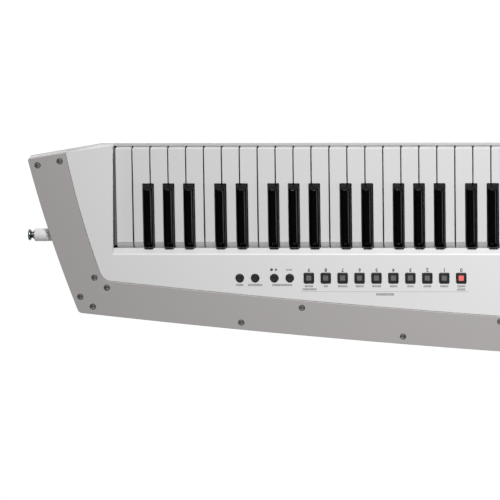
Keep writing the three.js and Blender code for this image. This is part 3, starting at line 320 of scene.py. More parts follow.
def rolled(radius: float, z: float, steps: int = 4, support: float = SUPPORT) -> Pairs:
    """Rows that round an edge by a quarter circle: inset r (1 - cos a), height z - r (1 - sin a).

    Args:
        radius: Radius of the rounding.
        z: Height of the face above it.
        steps: Steps of the quarter circle.
        support: Length of the flat row on each side.

    Returns:
        Pairs of inset and height, from the wall up to the face.
    """
    a = np.linspace(0.0, math.pi / 2.0, steps + 1)
    arc = zip(radius * (1.0 - np.cos(a)), z - radius * (1.0 - np.sin(a)))
    return [(0.0, z - radius - support), *arc, (radius + support, z)]


def lofted(rings: Sequence[Array], bottom: bool = True, holes: Sequence[Array] = ()) -> Surface:
    """Joins matching level rings into a wall and fills its ends.

    Args:
        rings: Points of each ring, from the first to the last.
        bottom: Whether the first ring is filled, facing away from the rest.
        holes: Outlines left open in the last ring's fill.

    Returns:
        The surface of the wall and its ends.
    """
    parts = [grid(np.stack(rings), closed=True)]
    if bottom:
        parts.append(filled([rings[0][:, :2]], rings[0][0, 2]).flipped())
    parts.append(filled([rings[-1][:, :2], *holes], rings[-1][0, 2]))
    return together(parts)


def raised(shape: Array, rows: Pairs, bottom: bool = True, holes: Sequence[Array] = (),
           steps: int = 5, least: float = 0.2) -> Surface:
    """Lofts a shape through rows of inset and height.

    Args:
        shape: Corners with their radii, whose arcs shrink with the inset, or the plain points of an outline.
        rows: Pairs of inset and height.
        bottom: Whether the first ring is filled.
        holes: Outlines left open in the last ring's fill.
        steps: Steps of a corner's arc.
        least: The least radius that a rounded corner keeps.

    Returns:
        The lofted surface.
    """
    has_arcs = shape.shape[1] == 3
    rings = [level(rounded(inset_corners(shape, d, least), steps) if has_arcs else inset(shape, d), z)
             for d, z in rows]
    return lofted(rings, bottom, holes)


def turned(profile: Pairs, sides: int = 40) -> Surface:
    """Turns a profile of radius and height round the Z axis; poles where the radius is zero close when merged.

    Args:
        profile: Pairs of radius and height, climbing on the outer side.
        sides: Steps of the turn.

    Returns:
        The turned surface.
    """
    radius, z = np.array(profile, float).T
    a = np.linspace(0.0, 2.0 * math.pi, sides, endpoint=False)
    x, y = radius[:, None] * np.cos(a), radius[:, None] * np.sin(a)
    return grid(np.stack([x, y, np.broadcast_to(z[:, None], x.shape)], axis=-1), closed=True)


def carried(profile: Array, x0: float, x1: float) -> Surface:
    """Carries a closed profile of y and z, anticlockwise as seen from +X, along X and closes its ends."""
    side = lofted([level(profile, x0), level(profile, x1)])
    return Surface(side.points[:, [2, 0, 1]], side.quads, side.triangles)


def block(x0: float, x1: float, y0: float, y1: float, z0: float, z1: float, edge: float = 0.3) -> Surface:
    """A block with softened edges."""
    rows = [(edge, z0), (0.0, z0 + edge), (0.0, z1 - edge), (edge, z1)]
    return raised(rectangle(x0, x1, y0, y1, 2.0 * edge), rows, steps=1)


def added(name: str, data: bpy.types.ID) -> bpy.types.Object:
    """Puts a new object with the data into the scene.

    Args:
        name: Name of the object.
        data: Its mesh, curve, lamp or camera.

    Returns:
        The object.
    """
    made = bpy.data.objects.new(name, data)
    bpy.context.scene.collection.objects.link(made)
    return made


def piece(name: str, surface: Surface, finish: Material, body: str = "case",
          stands_for: Sequence[str] = (), wall: float = 0.0, closed: bool = True) -> None:
    """Writes a surface into a mesh object in metres and binds it to the frame.

    Args:
        name: Name of the object.
        surface: The surface in millimetres.
        finish: Its material.
        body: The CAD body that it rides on.
        stands_for: CAD nodes that it replaces.
        wall: Thickness given inwards to an open sheet.
        closed: Whether the surface is closed, so that its normals can be worked out again.
    """
    sharp_degrees, merge_metres = 34.0, 4e-6
    mesh = bpy.data.meshes.new(name)
    mesh.vertices.add(len(surface.points))
    mesh.vertices.foreach_set("co", (surface.points * MM).astype(np.float32).ravel())
    sizes = np.concatenate([np.full(len(surface.quads), 4), np.full(len(surface.triangles), 3)])
    corners = np.concatenate([surface.quads.ravel(), surface.triangles.ravel()])
    mesh.loops.add(len(corners))
    mesh.loops.foreach_set("vertex_index", corners.astype(np.int32))
    mesh.polygons.add(len(sizes))
    mesh.polygons.foreach_set("loop_start", (np.cumsum(sizes) - sizes).astype(np.int32))
    mesh.polygons.foreach_set("loop_total", sizes.astype(np.int32))
    mesh.update(calc_edges=True)
    work = bmesh.new()
    work.from_mesh(mesh)
    bmesh.ops.remove_doubles(work, verts=work.verts, dist=merge_metres)
    loose = [v for v in work.verts if not v.link_faces]
    bmesh.ops.delete(work, geom=loose, context="VERTS")
    if closed:
        bmesh.ops.recalc_face_normals(work, faces=work.faces)
    work.to_mesh(mesh)
    work.free()
    mesh.shade_smooth()
    mesh.set_sharp_from_angle(angle=math.radians(sharp_degrees))
    made = added(name, mesh)
    mesh.materials.append(finish)
    if wall:
        solid = made.modifiers.new("wall", "SOLIDIFY")
        solid.thickness = wall * MM
        solid.offset = -1.0
    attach(made, body)
    if stands_for:
        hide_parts(*stands_for)
    LOG.info("%s: %d faces", name, len(mesh.polygons))


# Finishes


def linear(hex_code: str) -> tuple[float, float, float, float]:
    """Turns an sRGB colour into linear light: c / 12.92 in the dark, else ((c + 0.055) / 1.055)^2.4.

    Args:
        hex_code: Red, green and blue as six hex digits.

    Returns:
        The linear colour with full alpha.
    """
    srgb = [int(hex_code[i:i + 2], 16) / 255.0 for i in (0, 2, 4)]
    light = [c / 12.92 if c <= 0.04045 else ((c + 0.055) / 1.055) ** 2.4 for c in srgb]
    return (light[0], light[1], light[2], 1.0)


def add_node(tree: bpy.types.NodeTree, kind: str, settings: dict[str, Any] | None = None,
             inputs: dict[str | int, Any] | None = None) -> bpy.types.Node:
    """Adds a node to a material.

    Args:
        tree: The material's node tree.
        kind: Type of the node.
        settings: Its own settings by name.
        inputs: Values or sockets for its inputs, by name or number.

    Returns:
        The node.
    """
    node = tree.nodes.new(kind)
    for key, value in (settings or {}).items():
        setattr(node, key, value)
    for key, value in (inputs or {}).items():
        if isinstance(value, bpy.types.NodeSocket):
            tree.links.new(value, node.inputs[key])
        else:
            node.inputs[key].default_value = value
    return node


class Texture(Enum):
    """How a surface was left by its making."""

    MOULDED = "moulded"
    SPARK_ERODED = "spark eroded"
    POLISHED = "polished"
    TURNED = "turned"


@dataclass(frozen=True)
class Finish:
    """A real material and how its surface was made."""

    name: str
    colour: str
    shade: str
    roughness: float
    metallic: float = 0.0
    grain: float = 0.5
    relief: float = 0.01
    texture: Texture = Texture.MOULDED
    coat: float = 0.0
    glow: float = 0.0
    specular: float = 0.5

    def made(self) -> Material:
        """Builds the material.

        The colour drifts between two close shades over patches of some 60 mm, as pigment does in a moulding;
        roughness varies over patches of 12 mm, as handling leaves it; the relief is noise as fine as the grain,
        or rings round the piece's axis where it was turned on a lathe.

        Returns:
            The material.
        """
        material = bpy.data.materials.new(self.name)
        material.use_nodes = True
        tree = material.node_tree
        tree.nodes.clear()
        place = add_node(tree, "ShaderNodeTexCoord").outputs["Object"]

        def noise(size: float, detail: float) -> bpy.types.Node:
            """Noise in patches of a size in millimetres."""
            return add_node(tree, "ShaderNodeTexNoise", inputs={
                "Vector": place, "Scale": 1.0 / (size * MM), "Detail": detail})

        drift = noise(60.0, 2.0)
        tint = add_node(tree, "ShaderNodeMix", {"data_type": "RGBA"}, {
            "Factor": drift.outputs["Fac"], 6: linear(self.colour), 7: linear(self.shade)})
        wear = noise(12.0, 3.0)
        rough = add_node(tree, "ShaderNodeMapRange", inputs={
            "Value": wear.outputs["Fac"], "To Min": self.roughness * 0.9, "To Max": self.roughness * 1.1})
        if self.texture is Texture.TURNED:
            fine = add_node(tree, "ShaderNodeTexWave", {"bands_direction": "X"},
                            {"Vector": place, "Scale": 0.05 / (self.grain * MM), "Distortion": 0.6})
        elif self.texture is Texture.SPARK_ERODED:
            fine = add_node(tree, "ShaderNodeTexVoronoi", inputs={"Vector": place, "Scale": 1.0 / (self.grain * MM)})
        else:
            fine = noise(self.grain, 2.0)
        relief = add_node(tree, "ShaderNodeBump", inputs={
            "Height": fine.outputs[0], "Distance": self.relief * MM, "Strength": 1.0})
        shader = add_node(tree, "ShaderNodeBsdfPrincipled", inputs={
            "Base Color": tint.outputs[2], "Roughness": rough.outputs[0], "Metallic": self.metallic,
            "Normal": relief.outputs[0], "Coat Weight": self.coat, "Coat Roughness": 0.12,
            "Specular IOR Level": self.specular})
        if self.glow:
            tree.links.new(tint.outputs[2], shader.inputs["Emission Color"])
            shader.inputs["Emission Strength"].default_value = self.glow
        add_node(tree, "ShaderNodeOutputMaterial", inputs={"Surface": shader.outputs[0]})
        return material


def kept(name: str, colour: str, shade: str, roughness: float, **more: Any) -> Any:
    """A palette's field, whose material is built once, together with the palette."""
    return field(default_factory=Finish(name, colour, shade, roughness, **more).made)


@dataclass
class Palette:
    """The instrument's finishes, each built once."""

    # Injection-moulded ABS in cool white: a satin skin with a soft, wide highlight.
    shell: Material = kept("white_moulded_abs", "d4d3d3", "d2d1d1", 0.42, grain=0.45, relief=0.004)
    # The low rail before the keys, of the shell's ABS: dull and flat. Its light grey is painted shade, darker than the
    # shell, for the shaded strip before the keys.
    rail: Material = kept("rail_abs_grey_painted_shade", "aeaeaf", "acacad", 0.6, grain=0.45, relief=0.004)
    # ABS lacquered in warm mid grey: even and silky, with a very fine spray grain.
    blade: Material = kept("grey_silk_lacquer", "a7a4a3", "a5a2a1", 0.46, metallic=0.15, grain=0.6, relief=0.006,
                           texture=Texture.SPARK_ERODED)
    # Polished white key plastic: brighter and glossier than the shell, with a slight waviness.
    ivory: Material = kept("polished_white_key_plastic", "c9c9c9", "c7c7c8", 0.5, grain=6.0,
                           texture=Texture.POLISHED, coat=0.03, specular=0.4)
    # Satin black key plastic: nearly no light back from the top, and a grey line along the rounded edges.
    ebony: Material = kept("satin_black_key_plastic", "020203", "030304", 0.21, relief=0.001,
                           texture=Texture.SPARK_ERODED, specular=0.22)
    # Spark-eroded black ABS: a dull button frame.
    button: Material = kept("spark_eroded_black_abs", "0e0e0f", "121213", 0.5, grain=0.4,
                            texture=Texture.SPARK_ERODED)
    # Silicone window of a button: milky grey while its lamp is off.
    window: Material = kept("milky_grey_silicone", "606062", "5a5a5c", 0.55, grain=0.8)
    # The same silicone over a red lamp: the colour fills it from within.
    lit_window: Material = kept("red_lit_silicone", "c45b58", "c05653", 0.5, grain=0.8, glow=0.58)
    # Screen ink: flat dark grey letters with a trace of gloss.
    ink: Material = kept("dark_screen_ink", "4a4a4b", "464647", 0.5, grain=0.3, relief=0.001)
    # Paler screen ink of the small marks, too fine for the picture to show in full strength.
    pale_ink: Material = kept("pale_screen_ink", "747475", "707071", 0.5, grain=0.3, relief=0.001)
    # Black zinc-plated steel screws: dull, with a dark blue-grey glint.
    screw: Material = kept("black_zinc_steel", "8a8986", "7c7b78", 0.42, metallic=0.9)
    # The worn cross slot of a screw, where the zinc shows grey.
    slot: Material = kept("worn_zinc_slot", "62625f", "5b5b58", 0.6)
    # Painted shade: a dark grey that stands in for the shadow at the bottom of a recess, in the jack bores and under
    # the blade's screws.
    recess: Material = kept("painted_shade_recess", "262625", "1f1f1e", 0.7)
    # Nickel on turned steel, darkened by handling: fine rings and a greenish grey reflection.
    nickel: Material = kept("turned_nickel_steel", "7e8686", "6f7777", 0.3, metallic=1.0, grain=0.4,
                            texture=Texture.TURNED)
    # Black rubber feet: no gloss, a grain like fine sand.
    rubber: Material = kept("black_foot_rubber", "1d1d1e", "232324", 0.85, relief=0.03)
    # Smoked acrylic over the display: deep black with a sharp reflection.
    lens: Material = kept("smoked_acrylic", "08080a", "0b0b0d", 0.08, grain=5.0, relief=0.001,
                          texture=Texture.POLISHED, coat=0.5)
    # Ribbed chassis plastic, glass filled: mid grey, dry. The cheek flanges take it too, as painted shade in the gaps
    # beside the end keys.
    chassis: Material = kept("glass_filled_nylon_and_gap_shade", "5c5e60", "545658", 0.6, grain=0.6, relief=0.02)
    # Silicone rubber of the contact domes: dark and dull.
    silicone: Material = kept("contact_silicone", "3c3d40", "36373a", 0.75, grain=0.8)
    # Solder mask on glass epoxy: green with a thin gloss over the weave.
    board: Material = kept("green_solder_mask", "1f5a38", "1b5234", 0.35, grain=0.6, coat=0.4)
    # Gold-flashed brass inside the sockets.
    brass: Material = kept("gilt_brass", "b99a55", "a98a48", 0.3, metallic=1.0, grain=0.4, relief=0.005)


# The case in plan


@dataclass(frozen=True)
class CasePlan:
    """The lines that the case, the blade and the keyboard share."""

    keys_left: float = -507.65
    pitch: float = 23.5
    whites: int = 29
    front: float = 143.1
    rail_inner: float = 139.9
    key_front: float = 139.0
    step: float = 13.1
    lip: float = 5.6
    lip_run: float = 6.3
    hinge: tuple[float, float] = (-35.4, 56.0)
    corner: tuple[float, float] = (-620.7, 126.6)
    heel: tuple[float, float] = (-557.65, -79.6)
    end_bulge: float = 7.1
    sag: float = 11.2
    belly: tuple[float, float] = (203.85, -144.1)
    slant: float = 17.3
    blade_width: float = 47.0
    blade_end_width: float = 45.5
    blade_flare: float = 5.4
    blade_radius: float = 16.0
    blade_tail: float = 30.0
    neck_root: float = 301.85
    neck_tip: float = 599.85
    panel: float = 77.0
    parting: float = 52.0
    key_top: float = 68.0
    cheek_gap: float = 0.5
    cheek_draft: float = 3.2
    small_radius: float = 7.0
    corner_share: float = 0.35
    end_steps: int = 14
    lower_steps: int = 30

    @property
    def keys_right(self) -> float:
        """The right end of the keys."""
        return self.keys_left + self.whites * self.pitch

    @property
    def panel_edge(self) -> float:
        """The line where the panel breaks into the lip."""
        return self.lip - self.lip_run

    def edge(self, end: bool, t: Array) -> Array:
        """Points of the end edge or the lower edge, each a quadratic Bezier: (1-t)^2 a + 2t(1-t) m + t^2 b.

        Args:
            end: True for the end edge, False for the lower one.
            t: Parameters.

        Returns:
            Rows of x and y.
        """
        a, b = (self.corner, self.heel) if end else (self.heel, self.belly)
        shift = (-self.end_bulge, 0.0) if end else (0.0, -self.sag)
        a, b = np.array(a), np.array(b)
        m = (a + b) / 2.0 + shift
        t = np.asarray(t, float)[:, None]
        return (1 - t) ** 2 * a + 2 * t * (1 - t) * m + t ** 2 * b

    def beside(self, end: bool, t: Array, distance: float | Array) -> Array:
        """Points of an edge moved inwards along its normal, the tangent turned left by a quarter turn.

        Args:
            end: True for the end edge, False for the lower one.
            t: Parameters.
            distance: How far inwards, one for all or one for each point.

        Returns:
            Rows of x and y.
        """
        step = 1e-4
        tangent = unit(self.edge(end, t + step) - self.edge(end, t - step))
        normal = np.stack([-tangent[:, 1], tangent[:, 0]], axis=1)
        return self.edge(end, t) + np.reshape(distance, (-1, 1)) * normal

    def corners(self) -> Array:
        """The corners of the case, from the top corner of its end round past the belly and the neck.

        Returns:
            Rows of x, y and radius, anticlockwise.
        """
        end = self.edge(True, np.linspace(0, 1, self.end_steps + 1)[1:-1])
        lower = self.edge(False, np.linspace(0, 1, self.lower_steps + 1)[1:-1])
        rest = [[*self.belly, 46.0], [self.neck_root, -35.0, 70.0], [self.neck_tip, -23.0, 24.0],
                [self.neck_tip, 61.0, 24.0], [self.neck_root, 73.0, 70.0],
                [self.keys_right + 32.0, self.front, 24.0], [self.keys_left - self.slant, self.front, 0.0]]
        return np.concatenate([
            [[*self.corner, self.small_radius * self.corner_share]],
            level(end, 0.0),
            [[*self.heel, self.small_radius]],
            level(lower, 0.0),
            rest,
        ])

    def outline(self) -> Array:
        """The case's outline."""
        return rounded(self.corners(), 12)

    def blade_ends(self, gap: float = 0.0) -> tuple[Array, Array, Array, Array]:
        """Finds where the blade's inner line enters and leaves the case.

        Args:
            gap: How much farther in the line lies.

        Returns:
            The case's outline, the line, and the places on both where it enters and where it leaves.
        """
        outline, line = self.outline(), self.blade_line(gap)
        meets = crossings(outline, line)
        return outline, line, meets[0], meets[-1]

    def blade_line(self, gap: float = 0.0) -> Array:
        """The inner line of the blade, from above the slanted front edge down to past the belly.

        Beside the end edge it lies at end width + flare (1 - t)^2, beside the lower edge at one width, and both
        meet in a rounded corner.

        Args:
            gap: How much farther in the line lies.

        Returns:
            Points of the open line.
        """
        t = np.linspace(0.0, 0.8, 9)
        end = self.beside(True, t, self.blade_end_width + self.blade_flare * (1.0 - t) ** 2 + gap)
        lower = self.beside(False, np.linspace(1 / 9, 7 / 9, 25), self.blade_width + gap)
        first, second = end[-1] - end[-2], lower[0] - lower[1]
        across = lower[1] - end[-2]
        share = (across[0] * second[1] - across[1] * second[0]) / (first[0] * second[1] - first[1] * second[0])
        start = 3.0 * end[0] - 2.0 * end[1]
        past = [self.belly[0] + self.blade_tail, self.belly[1] - self.blade_tail]
        line = np.concatenate([[start], end, [end[-2] + share * first], lower, [past],
                               [[4000.0, past[1]], [4000.0, start[1]]]])
        radius = np.zeros(len(line))
        radius[len(end) + 1] = self.blade_radius - gap
        return rounded(np.column_stack([line, radius]), 8)[:-2]

    def cheek(self, side: int, y: float) -> float:
        """Finds where a cheek's face lies: it opens in proportion to the distance from the front.

        Args:
            side: -1 for the left cheek, 1 for the right one.
            y: Place of the line across the keys.

        Returns:
            The x of the face.
        """
        share = (self.front + 2.0 - y) / (self.front + 2.0 - self.hinge[0])
        reach = self.cheek_gap + self.cheek_draft * share
        return self.keys_left - reach if side < 0 else self.keys_right + reach


PLAN = CasePlan()


def strap_axes() -> list[tuple[str, Matrix]]:
    """Finds the axes of the strap pins and their bosses, whose own Z points inwards.

    Returns:
        The name of each end and the move to its axis.
    """
    height = 43.0
    return [(name, Matrix.Translation((x, y, height)) @ Matrix.Rotation(math.radians(-90.0 * side), 4, "Y"))
            for name, x, y, side in (("end", -617.6, 18.2, -1), ("neck", 617.6, 19.0, 1))]


# Upper case


@dataclass
class UpperShell:
    """The white panel with its cheeks, the lip behind the keys, the neck and the rail in front of the keys."""

    palette: Palette
    edge_round: float = 1.6
    opening_round: float = 0.9
    wall: float = 2.2
    bottom: float = 52.3
    ledge: float = 72.1
    lip_low: float = 68.6
    rail_top: float = 55.0
    hole_edge: float = 0.35
    flange_levels: tuple[float, float] = (53.6, 59.0)
    flange_reach: float = 1.3
    rail_reach: float = 0.5
    blade_gap: float = 0.2
    blade_round: float = 0.9
    lip_round: float = 1.8
    lip_foot: float = 4.4

    def stretches(self) -> list[tuple[Array, str]]:
        """Cuts the panel's edge into its stretches, anticlockwise from the front end of the blade.

        Returns:
            Points and kind of each stretch: blade, case, cheek or lip.
        """
        outline, line, first, last = PLAN.blade_ends(self.blade_gap)
        inner = np.concatenate([at_places(line, first[1:]),
                                line[math.floor(first[1]) + 1:math.floor(last[1]) + 1], at_places(line, last[1:])])
        places, lips = [], []
        for side in (1, -1):
            x = PLAN.cheek(side, PLAN.front)
            places.append(crossings(outline, np.array([[x, 100.0], [x, 150.0]]))[0, :1])
            lips.append(np.array([PLAN.cheek(side, PLAN.panel_edge), PLAN.panel_edge]))
        right_front, left_front = (at_places(outline, place)[0] for place in places)
        right_lip, left_lip = lips
        shares = np.concatenate([[0.0, 0.001], np.linspace(0.01, 0.99, 13), [0.999, 1.0]])[:, None]
        down, up = np.delete(shares, 1, axis=0), np.delete(shares, -2, axis=0)
        return [
            (inner, "blade"),
            (stretch(outline, last[0], places[0][0]), "case"),
            (right_front * (1 - down) + right_lip * down, "cheek"),
            (right_lip * (1 - shares) + left_lip * shares, "lip"),
            (left_lip * (1 - up) + left_front * up, "cheek"),
            (stretch(outline, places[1][0], first[0]), "case"),
        ]

    def under_blade(self, inner: Array) -> list[Surface]:
        """The ledge that the blade lies on, and the wall under the ledge's outer edge.

        Args:
            inner: The panel's edge beside the blade.

        Returns:
            The ledge and the wall.
        """
        outline, _, first, last = PLAN.blade_ends(self.blade_gap)
        outer = stretch(outline, first[0], last[0])
        wall = np.stack([level(outer, z) for z in (self.ledge, self.ledge - SUPPORT, self.bottom)])
        return [filled([np.concatenate([outer, inner[-2:0:-1]])], self.ledge), grid(wall).flipped()]

    def edge_strip(self, edge: Array, inner: Array, support: Array, kind: str) -> Surface:
        """Rounds one stretch of the panel's edge and carries its wall down.

        The rounding is a quadratic Bezier from the inset line over the sharp edge to a point on the wall.

        Args:
            edge: The sharp edge.
            inner: The same points moved in by the rounding.
            support: The same points moved in a little more.
            kind: Kind of the stretch.

        Returns:
            The strip, facing outwards.
        """
        low = {"blade": self.ledge, "lip": self.lip_low}.get(kind, self.bottom)
        foot = edge.copy()
        if kind == "lip":
            share = (edge[:, 0] - edge[0, 0]) / (edge[-1, 0] - edge[0, 0])
            ends = [PLAN.cheek(1, PLAN.lip), PLAN.cheek(-1, PLAN.lip)]
            foot = np.column_stack([ends[0] * (1 - share) + ends[1] * share, np.full(len(edge), PLAN.lip)])
        reach = np.linalg.norm(inner - edge, axis=1).min()
        sharp, base = level(edge, PLAN.panel), level(foot, low)
        start = level(inner, PLAN.panel)
        wall = unit(base - sharp)
        end = sharp + wall * reach
        t = np.linspace(0.0, 1.0, 6)[:, None, None]
        curve = (1 - t) ** 2 * start + 2 * t * (1 - t) * sharp + t ** 2 * end
        rows = [level(support, PLAN.panel)[None], curve, (end + wall * SUPPORT)[None], base[None]]
        if kind == "lip":
            rows.append(level(foot, low - self.lip_foot)[None])
        return grid(np.concatenate(rows)).flipped()

    def flange(self, side: int) -> Surface:
        """The narrow flange at a cheek's foot, which fills the gap beside the last key and falls to the rear.

        Args:
            side: -1 for the left cheek, 1 for the right one.

        Returns:
            The closed surface.
        """
        y = np.array([PLAN.lip + 1.0, PLAN.key_front - 2.0])
        face = np.array([PLAN.cheek(side, at) for at in y]) + side * 0.5
        key_side = PLAN.keys_left + self.flange_reach if side < 0 else PLAN.keys_right - self.flange_reach
        plan = np.array([[face[0], y[0]], [key_side, y[0]], [key_side, y[1]], [face[1], y[1]]])
        plan = plan if side < 0 else plan[::-1]
        top = np.interp(plan[:, 1], y, self.flange_levels)
        return together([grid(np.stack([level(plan, top - 1.2), level(plan, top)]), closed=True),
                         Surface(level(plan, top), np.array([[0, 1, 2, 3]])),
                         Surface(level(plan, top - 1.2), np.array([[3, 2, 1, 0]]))])

    def rail(self) -> Surface:
        """The low rail before the keys: a rounded bar carried between the cheeks.

        Returns:
            The closed surface.
        """
        inner = PLAN.rail_inner - self.rail_reach
        profile = rounded([[inner, self.bottom, 0], [PLAN.front, self.bottom, 0],
                           [PLAN.front, self.rail_top, 0.4], [inner, self.rail_top, 0.3]], 4)
        return carried(profile, PLAN.cheek(-1, PLAN.front) - 1.0, PLAN.cheek(1, PLAN.front) + 1.0)

    def build(self, holes: Sequence[Array]) -> None:
        """Builds the shell.

        Args:
            holes: Outlines of the openings for buttons, bar, window and ribbon.
        """
        parts = self.stretches()
        loop = np.concatenate([points[:-1] for points, _ in parts])
        ends = np.cumsum([0] + [len(points) - 1 for points, _ in parts])
        rounding = {"case": self.edge_round, "blade": self.blade_round, "lip": self.lip_round}
        radius = np.concatenate([np.full(len(points) - 1, rounding.get(kind, self.opening_round))
                                 for points, kind in parts])
        radius = np.minimum(radius, np.roll(radius, 1))
        inner, support = inset(loop, radius), inset(loop, radius + SUPPORT)
        surfaces = []
        for (points, kind), first in zip(parts, ends):
            numbers = np.arange(first, first + len(points)) % len(loop)
            surfaces.append(self.edge_strip(points, inner[numbers], support[numbers], kind))
        rims = [inset(hole, -self.hole_edge) for hole in holes]
        surfaces.append(filled([support, *rims], PLAN.panel))
        for hole, rim in zip(holes, rims):
            rows = np.stack([level(rim, PLAN.panel), level(hole, PLAN.panel - self.hole_edge)])
            surfaces.append(grid(rows, closed=True))
        surfaces += self.under_blade(parts[0][0])
        piece("upper_shell", together(surfaces), self.palette.shell, wall=self.wall,
              stands_for=["top_case"], closed=False)
        # Painted shade: the rail's grey stands in for the shade on the strip before the keys.
        piece("front_rail", self.rail(), self.palette.rail)
        # Painted shade: the flanges take the chassis's dark grey, which stands in for the shadow down the gap beside
        # each end key.
        piece("cheek_flanges", together([self.flange(-1), self.flange(1)]), self.palette.chassis)


# Lower case


@dataclass
class LowerShell:
    """The white tub with its ramp to the neck, the battery and jack bays, the feet and the strap bosses."""

    palette: Palette
    floor: float = 5.0
    depth: float = 47.0
    neck_depth: float = 15.0
    tumble: float = 24.0
    neck_tumble: float = 19.0
    ramp: tuple[float, float] = (223.85, 293.3)
    wall: float = 2.2
    bay: tuple[float, float, float, float] = (-153.0, -23.0, 0.0, 68.0)
    bay_top: float = 25.0
    jacks: tuple[float, float] = (-462.0, -350.0)
    jack_levels: tuple[float, float] = (24.0, 44.0)
    jack_back: float = -73.0
    feet_x: tuple[float, float] = (-476.65, 111.85)
    feet_y: tuple[float, float] = (-53.0, 91.0)
    lean_power: float = 0.43
    edge_chamfer: float = 0.5
    long_side: float = 16.0
    lower_side: float = -60.0
    jack_x: tuple[float, float] = (-448.0, -427.0)
    din_x: tuple[float, float] = (-403.0, -381.0)
    inlet_x: float = -362.0

    def neck_share(self, x: Array) -> Array:
        """How far the tub has changed to the neck at x: a smooth step over the ramp."""
        t = np.clip((x - self.ramp[0]) / (self.ramp[1] - self.ramp[0]), 0.0, 1.0)
        return t * t * (3.0 - 2.0 * t)

    def ring(self, down: float, places: Array) -> Array:
        """One ring of the tub: the case's outline leaning in by 1 - (1 - down)^power of the tumble.

        Args:
            down: Share of the depth.
            places: Where the ring has its points.

        Returns:
            Points of the ring.
        """
        lean = 1.0 - (1.0 - down) ** self.lean_power
        chamfer = self.edge_chamfer if down == 0.0 else 0.0
        body, neck = (at_places(rounded(inset_corners(PLAN.corners(), chamfer + lean * reach), 12), places)
                      for reach in (self.tumble, self.neck_tumble))
        share = self.neck_share(body[:, 0])[:, None]
        plan = body * (1 - share) + neck * share
        return level(plan, self.height(plan[:, 0], down))

    def height(self, x: Array, down: float) -> Array:
        """The height of the tub at x: a share of its depth under the parting line."""
        share = self.neck_share(x)
        return PLAN.parting - down * (self.depth * (1 - share) + self.neck_depth * share)

    def places(self) -> Array:
        """Chooses a ring's points: the outline's own, three more on each long side, and the jack bay's ends.

        Returns:
            Their places along the outline.
        """
        outline = PLAN.outline()
        length = np.linalg.norm(np.roll(outline, -1, axis=0) - outline, axis=1)
        number = np.arange(len(outline))
        keep = [number, *(number[length > self.long_side] + share for share in (0.25, 0.5, 0.75))]
        lower = number[outline[:, 1] < self.lower_side]
        lower = lower[np.argsort(outline[lower, 0])]
        marks = np.interp(self.jacks, outline[lower, 0], lower)
        return np.unique(np.concatenate([*keep, marks]))

    def sides(self) -> list[Surface]:
        """Builds the tub's wall and floor, with the jack bay's pocket let into the lower side.

        Returns:
            The wall, the pocket and the floor.
        """
        places = self.places()
        u = np.linspace(0.0, 1.0, 15)
        jack_rows = [(PLAN.parting - z) / self.depth for z in self.jack_levels]
        down = np.unique(np.concatenate([1.0 - (1.0 - u) ** 2, [0.012], jack_rows]))
        rings = np.stack([self.ring(share, places) for share in down[::-1]])
        rows = (rings[:-1, 0, 2] < self.jack_levels[1] - 0.1) & (rings[:-1, 0, 2] > self.jack_levels[0] - 0.1)
        top = rings[-1]
        columns = (top[:, 1] < self.lower_side) & (top[:, 0] > self.jacks[0] - 0.5) & (top[:, 0] < self.jacks[1] - 0.9)
        window = rows[:, None] & columns[None]
        wall = grid(rings, closed=True)
        opened = Surface(wall.points, wall.quads[~window.ravel()])
        pocket_rows, pocket_columns = np.flatnonzero(rows), np.flatnonzero(columns)
        face = rings[pocket_rows[0]:pocket_rows[-1] + 2, pocket_columns[0]:pocket_columns[-1] + 2]
        back = face.copy()
        back[..., 1] = self.jack_back
        borders = [[sheet[0], sheet[:, -1], sheet[-1, ::-1], sheet[::-1, 0]] for sheet in (face, back)]
        pocket = [grid(back)] + [grid(np.stack([inner, outer])) for outer, inner in zip(*borders)]
        low = rings[0]
        lines = [np.array([[at, -200.0], [at, 200.0]]) for at in np.linspace(self.ramp[0], self.ramp[1], 9)]
        hole = rounded(rectangle(*self.bay, 2.0))
        base = filled([low[:, :2], hole], 0.0, lines).flipped()
        base.points[:, 2] = self.height(base.points[:, 0], 1.0)
        return [opened, *pocket, base]

    def battery_box(self) -> Surface:
        """The battery bay: a ledge for the cover, then walls up to its roof.

        Returns:
            The surface, facing into the bay.
        """
        hole = rounded(rectangle(*self.bay, 2.0))
        rows = [(0.0, self.floor), (0.0, self.floor + 2.5), (3.0, self.floor + 2.5), (3.0, self.bay_top)]
        return raised(hole, rows, bottom=False).flipped()

    def foot(self, x: float, y: float) -> None:
        """A moulded foot with a rubber cap.

        Args:
            x: Its place along the case.
            y: Its place across the case.
        """
        stem = turned([(0.0, 1.2), (8.9, 1.2), (9.4, 1.7), (9.9, 5.4), (12.0, 6.4), (0.0, 6.4)])
        cap = turned([(0.0, 0.0), (7.9, 0.0), (8.4, 0.3), (8.5, 1.15), (0.0, 1.15)])
        move = Matrix.Translation((x, y, 0.0))
        name = f"foot_{'end' if x < 0 else 'neck'}_{'low' if y < 0 else 'high'}"
        piece(name, stem.placed(move), self.palette.shell)
        piece(f"{name}_cap", cap.placed(move), self.palette.rubber)

    def sockets(self) -> None:
        """Puts the sockets into the jack bay: two round jacks, two five-pin sockets and a power inlet."""
        turn, middle = Matrix.Rotation(math.radians(90.0), 4, "X"), sum(self.jack_levels) / 2.0
        ring = turned([(0.0, -6.0), (3.2, -6.0), (3.2, 1.6), (4.6, 2.2), (6.2, 2.0), (6.6, 0.0)])
        bore = turned([(0.0, -5.0), (3.19, -5.0), (3.19, 0.6), (0.0, 0.6)])
        wide = turned([(0.0, 0.8), (7.4, 0.8), (7.6, 2.4), (8.6, 2.4), (8.9, 0.0)])
        pin = turned([(0.0, 0.6), (0.6, 0.6), (0.6, 2.6), (0.3, 3.0), (0.0, 3.0)], 12)

        def at(x: float) -> Matrix:
            """The move from the origin to a socket's middle on the back of the bay."""
            return Matrix.Translation((x, self.jack_back, middle)) @ turn

